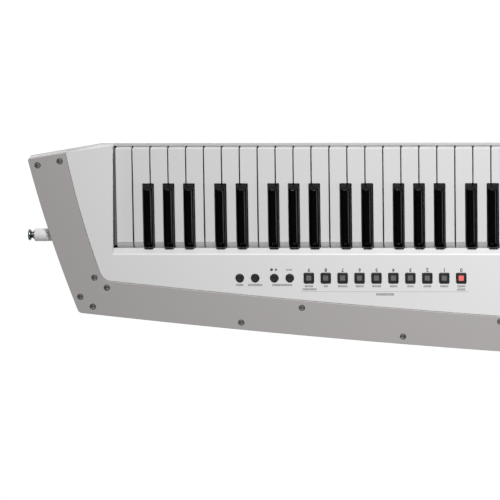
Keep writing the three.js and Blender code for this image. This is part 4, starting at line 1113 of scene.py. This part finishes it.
        for i, x in enumerate(self.jack_x, 1):
            piece(f"jack_socket_{i}", ring.placed(at(x)), self.palette.nickel, closed=False)
            # Painted shade: the bore is a dark plug that stands in for the shadow down the jack's hole.
            piece(f"jack_bore_{i}", bore.placed(at(x)), self.palette.recess)
        angles = np.radians([-90.0, -45.0, 0.0, 45.0, 90.0]) - math.pi / 2
        reach = 5.0
        shifts = [Matrix.Translation((reach * math.cos(a), reach * math.sin(a), 0.0)) for a in angles]
        for i, x in enumerate(self.din_x, 1):
            pins = [pin.placed(at(x) @ shift) for shift in shifts]
            piece(f"din_socket_{i}", wide.placed(at(x)), self.palette.button, closed=False)
            piece(f"din_pins_{i}", together(pins), self.palette.brass)
        inlet = turned([(0.0, 0.4), (2.9, 0.4), (2.9, 2.4), (4.4, 2.4), (4.8, 0.0)])
        piece("power_inlet", inlet.placed(at(self.inlet_x)), self.palette.button, closed=False)

    def bosses(self) -> None:
        """The round bosses that carry the strap pins, bevelled at their ends."""
        profile = [(0.0, 0.0), (2.7, 0.0), (7.0, 0.0), (7.6, 0.1), (8.3, 0.9), (8.5, 1.6), (8.5, 34.0), (0.0, 34.0)]
        for name, move in strap_axes():
            piece(f"strap_boss_{name}", turned(profile, 48).placed(move), self.palette.shell)

    def build(self) -> None:
        """Builds the tub and all that is moulded on it."""
        piece("lower_shell", together(self.sides()), self.palette.shell, wall=self.wall,
              stands_for=["bottom_case"], closed=False)
        piece("battery_box", self.battery_box(), self.palette.shell, closed=False)
        for x in self.feet_x:
            for y in self.feet_y:
                self.foot(x, y)
        self.sockets()
        self.bosses()


# Blade


@dataclass
class Screw:
    """A countersunk cross-head screw, seen from above."""

    head: float = 3.55
    crown: float = 0.45
    slot_length: float = 2.0
    slot_width: float = 0.55
    slot_depth: float = 1.4
    rim: float = 0.93
    skirt: float = 1.8
    bevel: float = 0.35
    slot_taper: float = 0.8

    def cross(self) -> Array:
        """The cross slot in plan: one arm, a little narrower at its end, turned by quarter turns.

        Returns:
            The twelve corners.
        """
        a, b, c = self.slot_length, self.slot_width, self.slot_width * 0.75
        arm = np.array([[b, -b], [a, -c], [a, c]])
        turns = [np.array([[math.cos(t), -math.sin(t)], [math.sin(t), math.cos(t)]]) for t in
                 (0.0, math.pi / 2, math.pi, 3 * math.pi / 2)]
        return np.concatenate([arm @ turn.T for turn in turns])

    def surfaces(self, x: float, y: float, z: float) -> tuple[Surface, Surface]:
        """The head with its slot cut through, and the slot's dark bottom.

        The crown is a paraboloid: it falls by crown * (r / head)^2.

        Args:
            x: Place of the screw.
            y: Place of the screw.
            z: Height of the crown.

        Returns:
            The head and the slot's bottom.
        """
        cross = self.cross()
        rings = [circle(0, 0, self.head * share) for share in (1.0, self.rim)]
        top = filled([rings[1], cross], 0.0)
        top.points[:, 2] = -self.crown * (top.points[:, 0] ** 2 + top.points[:, 1] ** 2) / self.head ** 2
        wall = np.stack([level(rings[0], -self.crown - self.skirt), level(rings[0], -self.crown - self.bevel),
                         level(rings[1], -self.crown * self.rim ** 2)])
        fall = -self.crown * (cross ** 2).sum(axis=1) / self.head ** 2
        low = cross * self.slot_taper
        slot = grid(np.stack([level(cross, fall), level(low, -self.slot_depth)]), closed=True)
        bottom = filled([low], -self.slot_depth)
        move = Matrix.Translation((x, y, z))
        head = together([top, grid(wall, closed=True)])
        return head.placed(move), together([slot.flipped(), bottom]).placed(move)


@dataclass
class Blade:
    """The grey guard round the end and along the lower edge, with its screws."""

    palette: Palette
    top: float = 77.8
    underside: float = 72.4
    edge: float = 0.6
    recess: float = 4.1
    recess_depth: float = 2.4
    end_screws: tuple = ((0.054, 0.2265), (0.0625, 0.858), (0.8303, 0.7769), (0.9127, 0.2054))
    lower_screws: tuple = ((0.0231, 0.215), (0.0442, 0.8), (0.2805, 0.1995), (0.3826, 0.786), (0.56, 0.2115),
                           (0.7251, 0.8476), (0.9053, 0.2198))

    def screw_places(self) -> Array:
        """Turns the screws' shares, along an edge and inwards across the blade, into places.

        Returns:
            Rows of x and y.
        """
        groups = []
        for end, shares in ((True, self.end_screws), (False, self.lower_screws)):
            along, inwards = np.array(shares).T
            base, inner = PLAN.edge(end, along), PLAN.beside(end, along, PLAN.blade_width)
            groups.append(base + (inner - base) * inwards[:, None])
        return np.concatenate(groups)

    def loop(self) -> Array:
        """The blade in plan: the case's edge from the front to the belly, and the blade's own line back.

        Returns:
            The outline, anticlockwise.
        """
        outline, line, first, last = PLAN.blade_ends()
        outer = stretch(outline, first[0], last[0])
        inner = line[math.floor(first[1]) + 1:math.floor(last[1]) + 1]
        return np.concatenate([outer, inner[::-1]])

    def build(self) -> None:
        """Builds the blade and sinks its screws."""
        loop = self.loop()
        places = self.screw_places()
        holes = [circle(x, y, self.recess + 0.25) for x, y in places]
        rows = [(0.3, self.underside), (0.0, self.underside + 0.3), *rolled(self.edge, self.top)]
        surfaces = [raised(loop, rows, holes=holes)]
        for (x, y), hole in zip(places, holes):
            wall = [level(hole, self.top), level(circle(x, y, self.recess), self.top - 0.25),
                    level(circle(x, y, self.recess), self.top - self.recess_depth)]
            surfaces.append(grid(np.stack(wall), closed=True).flipped())
            surfaces.append(filled([wall[-1][:, :2]], self.top - self.recess_depth))
        piece("guard_blade", together(surfaces), self.palette.blade, stands_for=["edge_blade"])
        screw = Screw()
        parts = [screw.surfaces(x, y, self.top - 0.7) for x, y in places]
        floors = [turned([(0.0, 0.0), (4.05, 0.0), (4.05, 0.1), (0.0, 0.1)], 32).placed(
            Matrix.Translation((x, y, self.top - self.recess_depth + 0.05))) for x, y in places]
        piece("blade_screws", together([head for head, _ in parts]), self.palette.screw, closed=False)
        piece("blade_screw_slots", together([slot for _, slot in parts]), self.palette.slot,
              closed=False)
        # Painted shade: dark discs on the recess floors stand in for the shadow round the screw heads.
        piece("blade_screw_recesses", together(floors), self.palette.recess)


# Keys


@dataclass(frozen=True)
class Key:
    """One key's name and its limits along X: its share of the hinge line, and a natural's head and shank."""

    name: str
    slot: tuple[float, float]
    head: tuple[float, float] = (0.0, 0.0)
    shank: tuple[float, float] = (0.0, 0.0)


@dataclass
class Keyboard:
    """Forty-nine keys: singly hinged ones and two mouldings for the lowest notes."""

    palette: Palette
    gap: float = 1.6
    head_gap: float = 1.3
    slot_shifts: tuple[float, ...] = (0.4, 0.4, 0.5, 0.25, 0.0)
    end_trim: float = 1.1
    white_under: float = 52.0
    white_round: float = 0.8
    black_front: float = 90.9
    notch_gap: float = 0.8
    least_notch: float = 1.0
    black_rear: float = 6.3
    black_top: float = 79.0
    black_under: float = 58.0
    seen_white: int = 20
    seen_black: int = 14
    ramp: tuple = ((3.2, 57.0), (14.6, 57.0), (14.6, 67.2), (13.7, 67.6), (12.8, 67.2), (11.6, 66.4), (6.0, 62.2),
                   (4.2, 61.4), (3.2, 61.2))

    def layout(self) -> tuple[list[Key], list[Key]]:
        """Lays the keys out from the highest note: shanks and slots share each group of naturals evenly.

        Returns:
            The naturals and the sharps.
        """
        letters, pitch, left = "bagfedc", PLAN.pitch, PLAN.keys_left
        slots = [(left, left + pitch)]
        names = ["key_c6"]
        blacks = []
        for i in range(1, PLAN.whites):
            step, octave = (i - 1) % 7, 5 - (i - 1) // 7
            first, size = (0, 4) if step < 4 else (4, 3)
            edges = left + (i - step + first) * pitch + np.arange(2 * size) * size * pitch / (2 * size - 1)
            group = 2 * ((i - 1) // 7) + first // 4
            edges[1:-1] += self.slot_shifts[group] if group < len(self.slot_shifts) else 0.0
            place = 2 * (step - first)
            names.append(f"key_{letters[step]}{octave}")
            slots.append((edges[place], edges[place + 1]))
            if step - first < size - 1:
                blacks.append(Key(f"key_{letters[step + 1]}_sharp_{octave}", (edges[place + 1], edges[place + 2])))
        whites = []
        for i, (name, slot) in enumerate(zip(names, slots)):
            trims = (self.end_trim * (i == 0), self.end_trim * (i == PLAN.whites - 1))
            head = (left + i * pitch + self.head_gap / 2 + trims[0],
                    left + (i + 1) * pitch - self.head_gap / 2 - trims[1])
            shank = (max(head[0], slot[0] + self.gap / 2), min(head[1], slot[1] - self.gap / 2))
            whites.append(Key(name, slot, head, shank))
        return whites, blacks

    def white_outline(self, key: Key) -> Array:
        """A natural in plan: a broad head and a shank, notched where a sharp stands.

        Args:
            key: The key.

        Returns:
            The outline, anticlockwise.
        """
        notch = self.black_front + self.notch_gap
        corners = [[key.shank[0], PLAN.step, 0.8], [key.shank[1], PLAN.step, 0.8]]
        if key.head[1] - key.shank[1] > self.least_notch:
            corners += [[key.shank[1], notch, 1.0], [key.head[1], notch, 0.8]]
        corners += [[key.head[1], PLAN.key_front, 1.6], [key.head[0], PLAN.key_front, 1.6]]
        if key.shank[0] - key.head[0] > self.least_notch:
            corners += [[key.head[0], notch, 0.8], [key.shank[0], notch, 1.0]]
        return np.array(corners)

    def tail(self, x: float, width: float, arm: float, front: float) -> list[Surface]:
        """The tail under the lip and the hook that clips over the hinge rod: an arc of 240 degrees, carried along X.

        Args:
            x: Middle of the key's shank.
            width: Width of the tail.
            arm: Width of the arm and the hook behind it.
            front: Where the tail starts.

        Returns:
            The closed surfaces of tail and hook.
        """
        y, z = PLAN.hinge
        a = np.linspace(-math.pi / 6, 7 * math.pi / 6, 17)
        inner, outer = 3.4, 6.0
        ring = np.concatenate([
            np.stack([y + outer * np.cos(a), z + outer * np.sin(a)], axis=1),
            np.stack([y + inner * np.cos(a[::-1]), z + inner * np.sin(a[::-1])], axis=1)])
        return [
            block(x - width / 2, x + width / 2, y + 12.0, front, z, z + 5.0),
            block(x - arm / 2, x + arm / 2, y + 4.4, y + 13.0, z, z + 5.0),
            carried(ring, x - arm / 2, x + arm / 2),
        ]

    def plunger(self, x: float, y: float, top: float) -> Surface:
        """The rib inside a key that works its contact dome."""
        return block(x - 2.5, x + 2.5, y - 1.5, y + 1.5, PLAN.key_top - 18.0, top)

    def white_key(self, key: Key) -> list[Surface]:
        """A natural: a hollow cap with rounded edges, its rib and its tail.

        Args:
            key: The key.

        Returns:
            The closed surfaces.
        """
        x = sum(key.shank) / 2
        rows = [(1.9, 65.4), (1.8, self.white_under), (0.2, self.white_under), (0.0, self.white_under + 0.3),
                *rolled(self.white_round, PLAN.key_top)]
        cap = raised(self.white_outline(key), rows)
        reach = PLAN.key_front - PLAN.hinge[0]
        rib = self.plunger(x, PLAN.hinge[0] + reach * 0.476, 66.0)
        ramp = carried(np.array(self.ramp), *key.shank)
        return [cap, rib, ramp, *self.tail(x, key.shank[1] - key.shank[0], 9.4, PLAN.step + 0.9)]

    def black_key(self, key: Key) -> list[Surface]:
        """A sharp: a hollow cap whose rings narrow and lean back as they climb, its rib and its tail.

        Each ring is a rounded rectangle: height, half width, front, rear, front radius, rear radius.

        Args:
            key: The key.

        Returns:
            The closed surfaces.
        """
        x = sum(key.slot) / 2
        front, rear, top, under = self.black_front, self.black_rear, self.black_top, self.black_under
        table = np.array([
            [top - 3.6, 3.9, front - 8.0, rear + 6.5, 0.5, 2.0],
            [under, 4.8, front - 6.6, rear + 2.5, 0.5, 2.0],
            [under, 6.3, front - 0.2, rear + 0.2, 0.5, 2.6],
            [under + 0.3, 6.5, front, rear, 0.6, 2.8],
            [67.0, 6.5, front, rear, 0.6, 2.8],
            [68.6, 6.47, front - 0.05, rear, 0.6, 2.8],
            [70.0, 6.45, front - 0.15, rear, 0.6, 2.8],
            [72.8, 6.48, front - 1.97, rear, 0.8, 2.8],
            [75.8, 6.42, front - 3.92, rear + 1.5, 0.8, 2.8],
            [76.2, 6.3, front - 4.18, rear + 2.1, 0.8, 2.8],
            [76.8, 5.75, front - 4.57, rear + 2.9, 0.8, 2.7],
            [77.4, 5.1, front - 4.96, rear + 3.8, 0.8, 2.6],
            [77.9, 4.6, front - 5.29, rear + 4.6, 0.8, 2.5],
            [78.3, 4.1, front - 5.55, rear + 5.3, 0.8, 2.4],
            [78.7, 3.55, front - 5.81, rear + 6.2, 0.8, 2.2],
            [78.95, 3.15, front - 5.97, rear + 6.9, 0.6, 2.0],
            [79.0, 2.8, front - 6.05, rear + 7.4, 0.5, 1.7],
            [79.0, 2.4, front - 6.4, rear + 7.8, 0.5, 1.4],
        ])
        rings = [level(rounded([[x - w, r, b], [x + w, r, b], [x + w, f, c], [x - w, f, c]], 5), z)
                 for z, w, f, r, c, b in table]
        reach = self.black_front + 1.2 - PLAN.hinge[0]
        rib = self.plunger(x, PLAN.hinge[0] + reach * 0.722, top - 3.0)
        return [lofted(rings), rib, *self.tail(x, 9.8, 8.0, rear + 1.0)]

    def webs(self, keys: Sequence[Key], sharps: bool) -> list[Surface]:
        """The web that joins the lowest keys behind the rod, with an arm to each.

        Args:
            keys: The keys of the moulding.
            sharps: Whether they are sharps, whose web lies higher and farther back.

        Returns:
            The closed surfaces of web and arms.
        """
        back, z = PLAN.hinge[0] - 6.45, PLAN.hinge[1]
        middles = [sum(key.slot if sharps else key.shank) / 2 for key in keys]
        span = (keys[0].slot[0] + 2.4, keys[-1].slot[1] - 2.4)
        if sharps:
            arms = [block(m - 4.0, m + 4.0, back - 10.0, back + 1.2, z + 3.4, z + 6.0) for m in middles]
            return [block(*span, back - 13.5, back - 8.2, z, z + 6.0), *arms]
        arms = [block(m - 3.7, m + 3.7, back - 3.5, back + 1.3, z - 2.0, z + 2.0) for m in middles]
        return [block(*span, back - 7.0, back - 1.0, z - 2.0, z + 2.0), *arms]

    def build(self) -> None:
        """Builds every key on its own body, then the two mouldings."""
        whites, blacks = self.layout()
        kinds = ((whites, self.seen_white, self.white_key, self.palette.ivory, "white_key", "lower_naturals"),
                 (blacks, self.seen_black, self.black_key, self.palette.ebony, "black_key", "lower_sharps"))
        for keys, seen, shape, finish, slot, _ in kinds:
            for key in keys[:seen]:
                piece(f"{key.name}_cap", together(shape(key)), finish, key.name, [key.name])
        for keys, seen, shape, finish, slot, comb in kinds:
            low = keys[seen:]
            surfaces = [s for key in low for s in shape(key)] + self.webs(low, keys is blacks)
            piece(f"{comb}_caps", together(surfaces), finish, comb, [comb])


# Controls


@dataclass
class Controls:
    """The row of buttons with its print, and the neck's bar, ribbon and display."""

    palette: Palette
    row: float = -32.6
    proud: float = 1.6
    square: float = 12.9
    square_first: float = -253.3
    square_pitch: float = 22.2
    rounds: tuple[float, ...] = (-344.2, -323.95, -298.8, -278.4)
    round_radius: float = 5.3
    round_shift: float = -0.3
    square_reach: float = 0.6
    fit: float = 0.3
    window_side: float = 6.9
    digit_size: float = 6.6
    digit_rise: float = 10.7
    dots: tuple[tuple[float, float], ...] = ((-302.3, 1.9), (-296.4, 1.5))
    dot_rise: float = 11.0
    word_widths: tuple[float, ...] = (11.2, 5.2, 12.8, 10.6, 12.0, 10.0, 8.4, 10.0, 10.6, 10.6)
    word_drops: tuple[float, float] = (11.1, 15.3)
    round_word_drop: float = 9.5
    line_drop: float = 18.4
    title_drop: float = 22.0
    print_lift: float = 0.05
    bar: tuple[float, float, float, float] = (353.85, 503.86, 38.5, 51.5)
    ribbon: tuple[float, float, float, float] = (353.85, 503.86, 4.0, 22.0)
    display: tuple[float, float, float, float] = (217.85, 279.85, 20.0, 46.0)

    def squares(self) -> list[float]:
        """Middles of the square buttons, left to right."""
        return [self.square_first + i * self.square_pitch for i in range(10)]

    def square_shape(self, x: float, half: float, radius: float, reach: float = 0.0) -> Array:
        """The corners of a square round a button's middle, a little longer to the player's side by the reach."""
        return rectangle(x - half, x + half, self.row - half - reach, self.row + half, radius)

    def holes(self) -> list[Array]:
        """Cuts the panel's openings to the buttons, the bar, the ribbon and the display.

        Returns:
            Their outlines.
        """
        half = self.square / 2 + self.fit
        found = [rounded(self.square_shape(x, half, 1.8, self.square_reach)) for x in self.squares()]
        found += [circle(x, self.row + self.round_shift, self.round_radius + self.fit, 36) for x in self.rounds]
        x0, x1, y0, y1 = self.bar
        found.append(rounded(rectangle(x0 - self.fit, x1 + self.fit, y0 - self.fit, y1 + self.fit, 1.0)))
        found += [rounded(rectangle(*place, 1.0)) for place in (self.ribbon, self.display)]
        return found

    def square_button(self, x: float, number: int) -> None:
        """A square push button: a black frame with a sunk groove round its silicone window.

        Args:
            x: Middle of the button.
            number: The number printed above it.
        """
        top = PLAN.panel + self.proud
        half, side = self.square / 2, self.window_side / 2
        rows = [(-1.5, 72.8), (-1.5, 74.15), (0.0, 74.15), *rolled(0.7, top, support=0.2),
                (half - side - 0.45, top), (half - side - 0.15, top - 0.5), (half - side + 0.6, top - 0.5)]
        frame_part = raised(self.square_shape(x, half, 1.5, self.square_reach), rows)
        stem = block(x - 2.4, x + 2.4, self.row - 2.4, self.row + 2.4, 70.6, 73.0)
        body = f"square_button_{number}"
        piece(f"{body}_frame", together([frame_part, stem]), self.palette.button, body, [body])
        pad = raised(self.square_shape(x, side, 0.8), [(0.0, top - 0.5), *rolled(0.35, top + 0.05, support=0.1)])
        finish = self.palette.lit_window if number == 0 else self.palette.window
        piece(f"{body}_window", pad, finish, body)

    def round_button(self, x: float, number: int) -> None:
        """A round push button with a dished top: its face falls by a cosine towards the middle.

        Args:
            x: Middle of the button.
            number: Its number from the left.
        """
        top, r = PLAN.panel + self.proud, self.round_radius
        share = np.linspace(1.0, 0.0, 9)
        dish = [(0.82 * r * s, top - 0.35 * (1.0 + math.cos(math.pi * s)) / 2.0) for s in share]
        profile = [(0.0, 70.6), (2.4, 70.6), (2.4, 72.8), (r + 1.5, 72.8), (r + 1.5, 74.1), (r, 74.1), (r, top - 0.7),
                   (r - 0.1, top - 0.35), (r - 0.35, top - 0.1), (r - 0.65, top), *dish]
        body = f"round_button_{number}"
        piece(f"{body}_cap", turned(profile, 36).placed(Matrix.Translation((x, self.row + self.round_shift, 0.0))),
              self.palette.button, body, [body])

    def digit(self, number: int, x: float, y: float, size: float) -> Surface:
        """A digit as printed for the player, who stands on the other side: the glyph turned half round.

        Args:
            number: The digit.
            x: Its middle.
            y: Its middle.
            size: Height of the glyph's line.

        Returns:
            The flat surface.
        """
        curve = bpy.data.curves.new("digit", "FONT")
        curve.body = str(number)
        curve.size, curve.offset = size, 0.03 * size
        curve.align_x, curve.align_y = "CENTER", "CENTER"
        curve.resolution_u = 3
        carrier = added("digit", curve)
        mesh = bpy.data.meshes.new_from_object(carrier)
        bpy.data.objects.remove(carrier)
        places = np.zeros(len(mesh.vertices) * 3)
        mesh.vertices.foreach_get("co", places)
        mesh.calc_loop_triangles()
        corners = np.zeros(len(mesh.loop_triangles) * 3, np.int32)
        mesh.loop_triangles.foreach_get("vertices", corners)
        bpy.data.meshes.remove(mesh)
        bpy.data.curves.remove(curve)
        turn = Matrix.Translation((x, y, PLAN.panel + self.print_lift)) @ Matrix.Rotation(math.pi, 4, "Z")
        return Surface(places.reshape(-1, 3), triangles=corners.reshape(-1, 3)).placed(turn)

    def bar_mark(self, x: float, y: float, width: float, height: float) -> Surface:
        """A plain printed bar."""
        corners = rectangle(x - width / 2, x + width / 2, y - height / 2, y + height / 2, min(width, height) / 3)
        return filled([rounded(corners, 2)], PLAN.panel + self.print_lift)

    def word(self, x: float, y: float, width: float, height: float = 2.9) -> list[Surface]:
        """A row of short upright strokes, printed where a word would be.

        Args:
            x: Its middle.
            y: Its middle.
            width: Its whole width.
            height: Height of the strokes.

        Returns:
            The strokes.
        """
        count = max(2, round(width / 1.5))
        pitch = width / count
        return [self.bar_mark(x + (i - (count - 1) / 2) * pitch, y, pitch * 0.64, height) for i in range(count)]

    def printing(self) -> None:
        """Prints the digits, the rows of strokes that stand where words would be, and the line under the row."""
        squares = self.squares()
        marks = [self.digit(9 - i, x + 0.2, self.row + self.digit_rise, self.digit_size)
                 for i, x in enumerate(squares)]
        marks += [filled([circle(x, self.row + self.dot_rise, radius, 20)], PLAN.panel + self.print_lift)
                  for x, radius in self.dots]
        piece("number_print", together(marks), self.palette.ink, closed=False)
        near, far = (self.row - drop for drop in self.word_drops)
        round_row = self.row - self.round_word_drop
        words = [(x, near, width) for x, width in zip(squares, self.word_widths)]
        words += [(squares[0] + 0.8, far, 18.5), (squares[-1], far, 10.6),
                  (self.rounds[0], round_row, 9.6), (self.rounds[1], round_row, 19.0),
                  ((self.rounds[2] + self.rounds[3]) / 2, round_row, 26.0)]
        strokes = [stroke for place in words for stroke in self.word(*place)]
        middle = (squares[0] + squares[-1]) / 2
        strokes += self.word(-279.0, self.row + 10.9, 8.0, 2.2)
        strokes += self.word(middle, self.row - self.title_drop, 23.5, 3.3)
        strokes.append(self.bar_mark(middle, self.row - self.line_drop, squares[-1] - squares[0] + 19.0, 0.3))
        piece("stroke_print", together(strokes), self.palette.pale_ink, closed=False)

    def neck_controls(self) -> None:
        """The modulation bar on its pin, the ribbon's film and the display's lens."""
        x0, x1, y0, y1 = self.bar
        corners = np.array([[x0, y0, 0.8], [x1, y0, 4.0], [x1, y1, 4.0], [x0, y1, 0.8]])
        bar = raised(corners, [(0.3, 71.3), (0.0, 71.6), *rolled(0.9, 79.0)])
        pin = turned([(0.0, -9.5), (1.5, -9.5), (1.6, -9.4), (1.6, 9.4), (1.5, 9.5), (0.0, 9.5)], 20)
        pin = pin.placed(Matrix.Translation((x0 + 4.0, (y0 + y1) / 2, 72.9)) @ Matrix.Rotation(math.pi / 2, 4, "X"))
        tongue = block(x1 - 4.0, x1 + 3.0, y0 + 3.0, y1 - 3.0, 71.3, 74.2)
        ribs = [block(x1 - 14.0 - 3.2 * i, x1 - 12.6 - 3.2 * i, y0 + 2.2, y1 - 2.2, 78.7, 79.35, 0.2) for i in range(5)]
        piece("modulation_bar_grip", together([bar, pin, tongue, *ribs]), self.palette.button, "modulation_bar",
              ["modulation_bar"])
        film = raised(rectangle(*self.ribbon, 1.0), [(0.25, 75.2), (0.25, 76.5), (0.5, 76.75), (0.9, 76.75)])
        piece("ribbon_film", film, self.palette.silicone)
        lens = raised(rectangle(*self.display, 1.0), [(0.2, 75.2), *((d + 0.2, z) for d, z in rolled(0.3, 76.8))])
        piece("display_lens", lens, self.palette.lens)

    def build(self) -> None:
        """Builds all the controls."""
        for i, x in enumerate(self.squares()):
            self.square_button(x, 9 - i)
        for i, x in enumerate(self.rounds):
            self.round_button(x, i + 1)
        self.printing()
        self.neck_controls()


# Strap pins and the cover


@dataclass
class Fittings:
    """The turned strap pins, the battery cover and the screws of the underside."""

    palette: Palette

    def strap_pins(self) -> None:
        """Turns both pins: a wide head, a waist for the strap and a stem in the boss."""
        profile = [(0.0, -8.6), (4.4, -8.6), (6.2, -8.4), (7.1, -7.8), (7.5, -6.9), (7.5, -5.9), (7.1, -5.1),
                   (6.0, -4.5), (4.9, -3.9), (4.3, -3.2), (4.2, -2.4), (4.6, -1.8), (6.0, -1.2), (6.3, -0.9),
                   (6.3, -0.1), (2.4, -0.1), (2.4, 12.0), (0.0, 12.0)]
        for name, move in strap_axes():
            piece(f"strap_pin_{name}_turned", turned(profile, 48).placed(move), self.palette.nickel,
                  stands_for=[f"strap_pin_{name}"])

    def underside_screws(self) -> None:
        """Screws that hold the two halves of the case together, in shallow recesses of the floor."""
        screw = Screw(head=3.2)
        turn = Matrix.Rotation(math.pi, 4, "X")
        places = [(-520.0, 60.0), (-490.0, 105.0), (-250.0, 108.0), (30.0, 108.0), (150.0, 60.0), (150.0, -60.0),
                  (-60.0, -70.0), (-330.0, -50.0)]
        head, slot = screw.surfaces(0.0, 0.0, 0.0)
        moves = [Matrix.Translation((x, y, 4.9)) @ turn for x, y in places]
        for name, part, finish in (("screws", head, self.palette.screw), ("screw_slots", slot, self.palette.slot)):
            piece(f"underside_{name}", together([part.placed(move) for move in moves]), finish,
                  closed=False)

    def cad_nodes(self) -> None:
        """Gives the nodes that stay their materials."""
        for name, finish in (("key_chassis", self.palette.chassis), ("contact_strip", self.palette.silicone),
                             ("control_board", self.palette.board), ("battery_cover", self.palette.shell)):
            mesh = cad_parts[name].data
            mesh.materials.clear()
            mesh.materials.append(finish)

    def build(self) -> None:
        """Builds the fittings."""
        self.strap_pins()
        self.underside_screws()
        self.cad_nodes()


# Room, light and camera


@dataclass
class Studio:
    """A white floor, soft lamps and the photograph's camera."""

    lens: float = 371.76
    place: Place = (185.14, 1385.55, 6684.03)
    yaw: float = -0.077829
    tilt: float = 0.205412
    roll: float = -0.015680

    def camera(self) -> None:
        """Puts the camera at its place, looking along yaw and tilt and rolled about that line."""
        ahead = Vector((math.sin(self.yaw) * math.cos(self.tilt), -math.sin(self.tilt),
                        -math.cos(self.tilt) * math.cos(self.yaw))).normalized()
        right = ahead.cross(Vector((0.0, 1.0, 0.0))).normalized()
        up = right.cross(ahead)
        turn = Matrix.Rotation(-self.roll, 3, ahead)
        data = bpy.data.cameras.new("camera")
        data.lens, data.sensor_width, data.sensor_fit = self.lens, 36.0, "HORIZONTAL"
        data.clip_start, data.clip_end = 0.1, 60.0
        camera = added("camera", data)
        axes = Matrix((turn @ right, turn @ up, -ahead)).transposed()
        camera.matrix_world = Matrix.Translation(Vector(self.place) * MM) @ axes.to_4x4()
        bpy.context.scene.camera = camera

    def floor(self) -> None:
        """A matt floor that glows white by itself, so that the ground of the picture has no shadow."""
        half = 9.0
        mesh = bpy.data.meshes.new("floor")
        mesh.from_pydata([(-half, -half, 0), (half, -half, 0), (half, half, 0), (-half, half, 0)], [], [(0, 1, 2, 3)])
        floor = added("floor", mesh)
        material = bpy.data.materials.new("matt_white_paper")
        material.use_nodes = True
        tree = material.node_tree
        shader = tree.nodes["Principled BSDF"]
        place = add_node(tree, "ShaderNodeTexCoord").outputs["Object"]
        fibre = add_node(tree, "ShaderNodeTexNoise", inputs={"Vector": place, "Scale": 400.0})
        relief = add_node(tree, "ShaderNodeBump", inputs={"Height": fibre.outputs[0], "Distance": 0.00002})
        tree.links.new(relief.outputs[0], shader.inputs["Normal"])
        shader.inputs["Base Color"].default_value = linear("303030")
        shader.inputs["Roughness"].default_value = 0.9
        shader.inputs["Emission Color"].default_value = (1.0, 1.0, 1.0, 1.0)
        shader.inputs["Emission Strength"].default_value = 1.0
        mesh.materials.append(material)

    def lamp(self, name: str, place: Place, size: tuple[float, float], power: float,
             aim: Place = (0.0, 0.0, 0.04)) -> None:
        """A soft lamp; one that is aimed past the instrument lights it with the edge of its beam.

        Args:
            name: Its name.
            place: Its place in metres.
            size: Width and height of its face in metres.
            power: Watts.
            aim: The point that it faces, in metres.
        """
        data = bpy.data.lights.new(name, "AREA")
        data.shape, data.energy = "RECTANGLE", power
        data.size, data.size_y = size
        lamp = added(name, data)
        lamp.location = place
        lamp.rotation_euler = (Vector(aim) - Vector(place)).to_track_quat("-Z", "Y").to_euler()

    def build(self) -> None:
        """Builds the room."""
        self.camera()
        self.floor()
        self.lamp("key_softbox", (-0.3, 1.77, 2.39), size=(0.6, 0.6), power=202.0, aim=(5.2, 0.0, 0.0))
        self.lamp("right_striplight", (2.6, -0.5, 1.4), size=(0.8, 0.8), power=10.0)
        self.lamp("rear_striplight", (-0.47, -1.45, 2.5), size=(0.8, 0.12), power=8.0, aim=(-0.47, 0.0, 0.04))
        world = bpy.data.worlds.new("soft_room")
        world.use_nodes = True
        background = world.node_tree.nodes["Background"]
        background.inputs["Color"].default_value = (1.0, 1.0, 1.0, 1.0)
        background.inputs["Strength"].default_value = 0.02
        scene = bpy.context.scene
        scene.world = world
        scene.view_settings.view_transform = "Standard"
        scene.view_settings.look = "None"


def main() -> None:
    """Builds the instrument and its room, in order."""
    logging.basicConfig(level=logging.INFO, format="%(name)s: %(message)s")
    palette = Palette()
    controls = Controls(palette)
    UpperShell(palette).build(controls.holes())
    LowerShell(palette).build()
    Blade(palette).build()
    Keyboard(palette).build()
    controls.build()
    Fittings(palette).build()
    Studio().build()


if __name__ == "__main__":
    main()
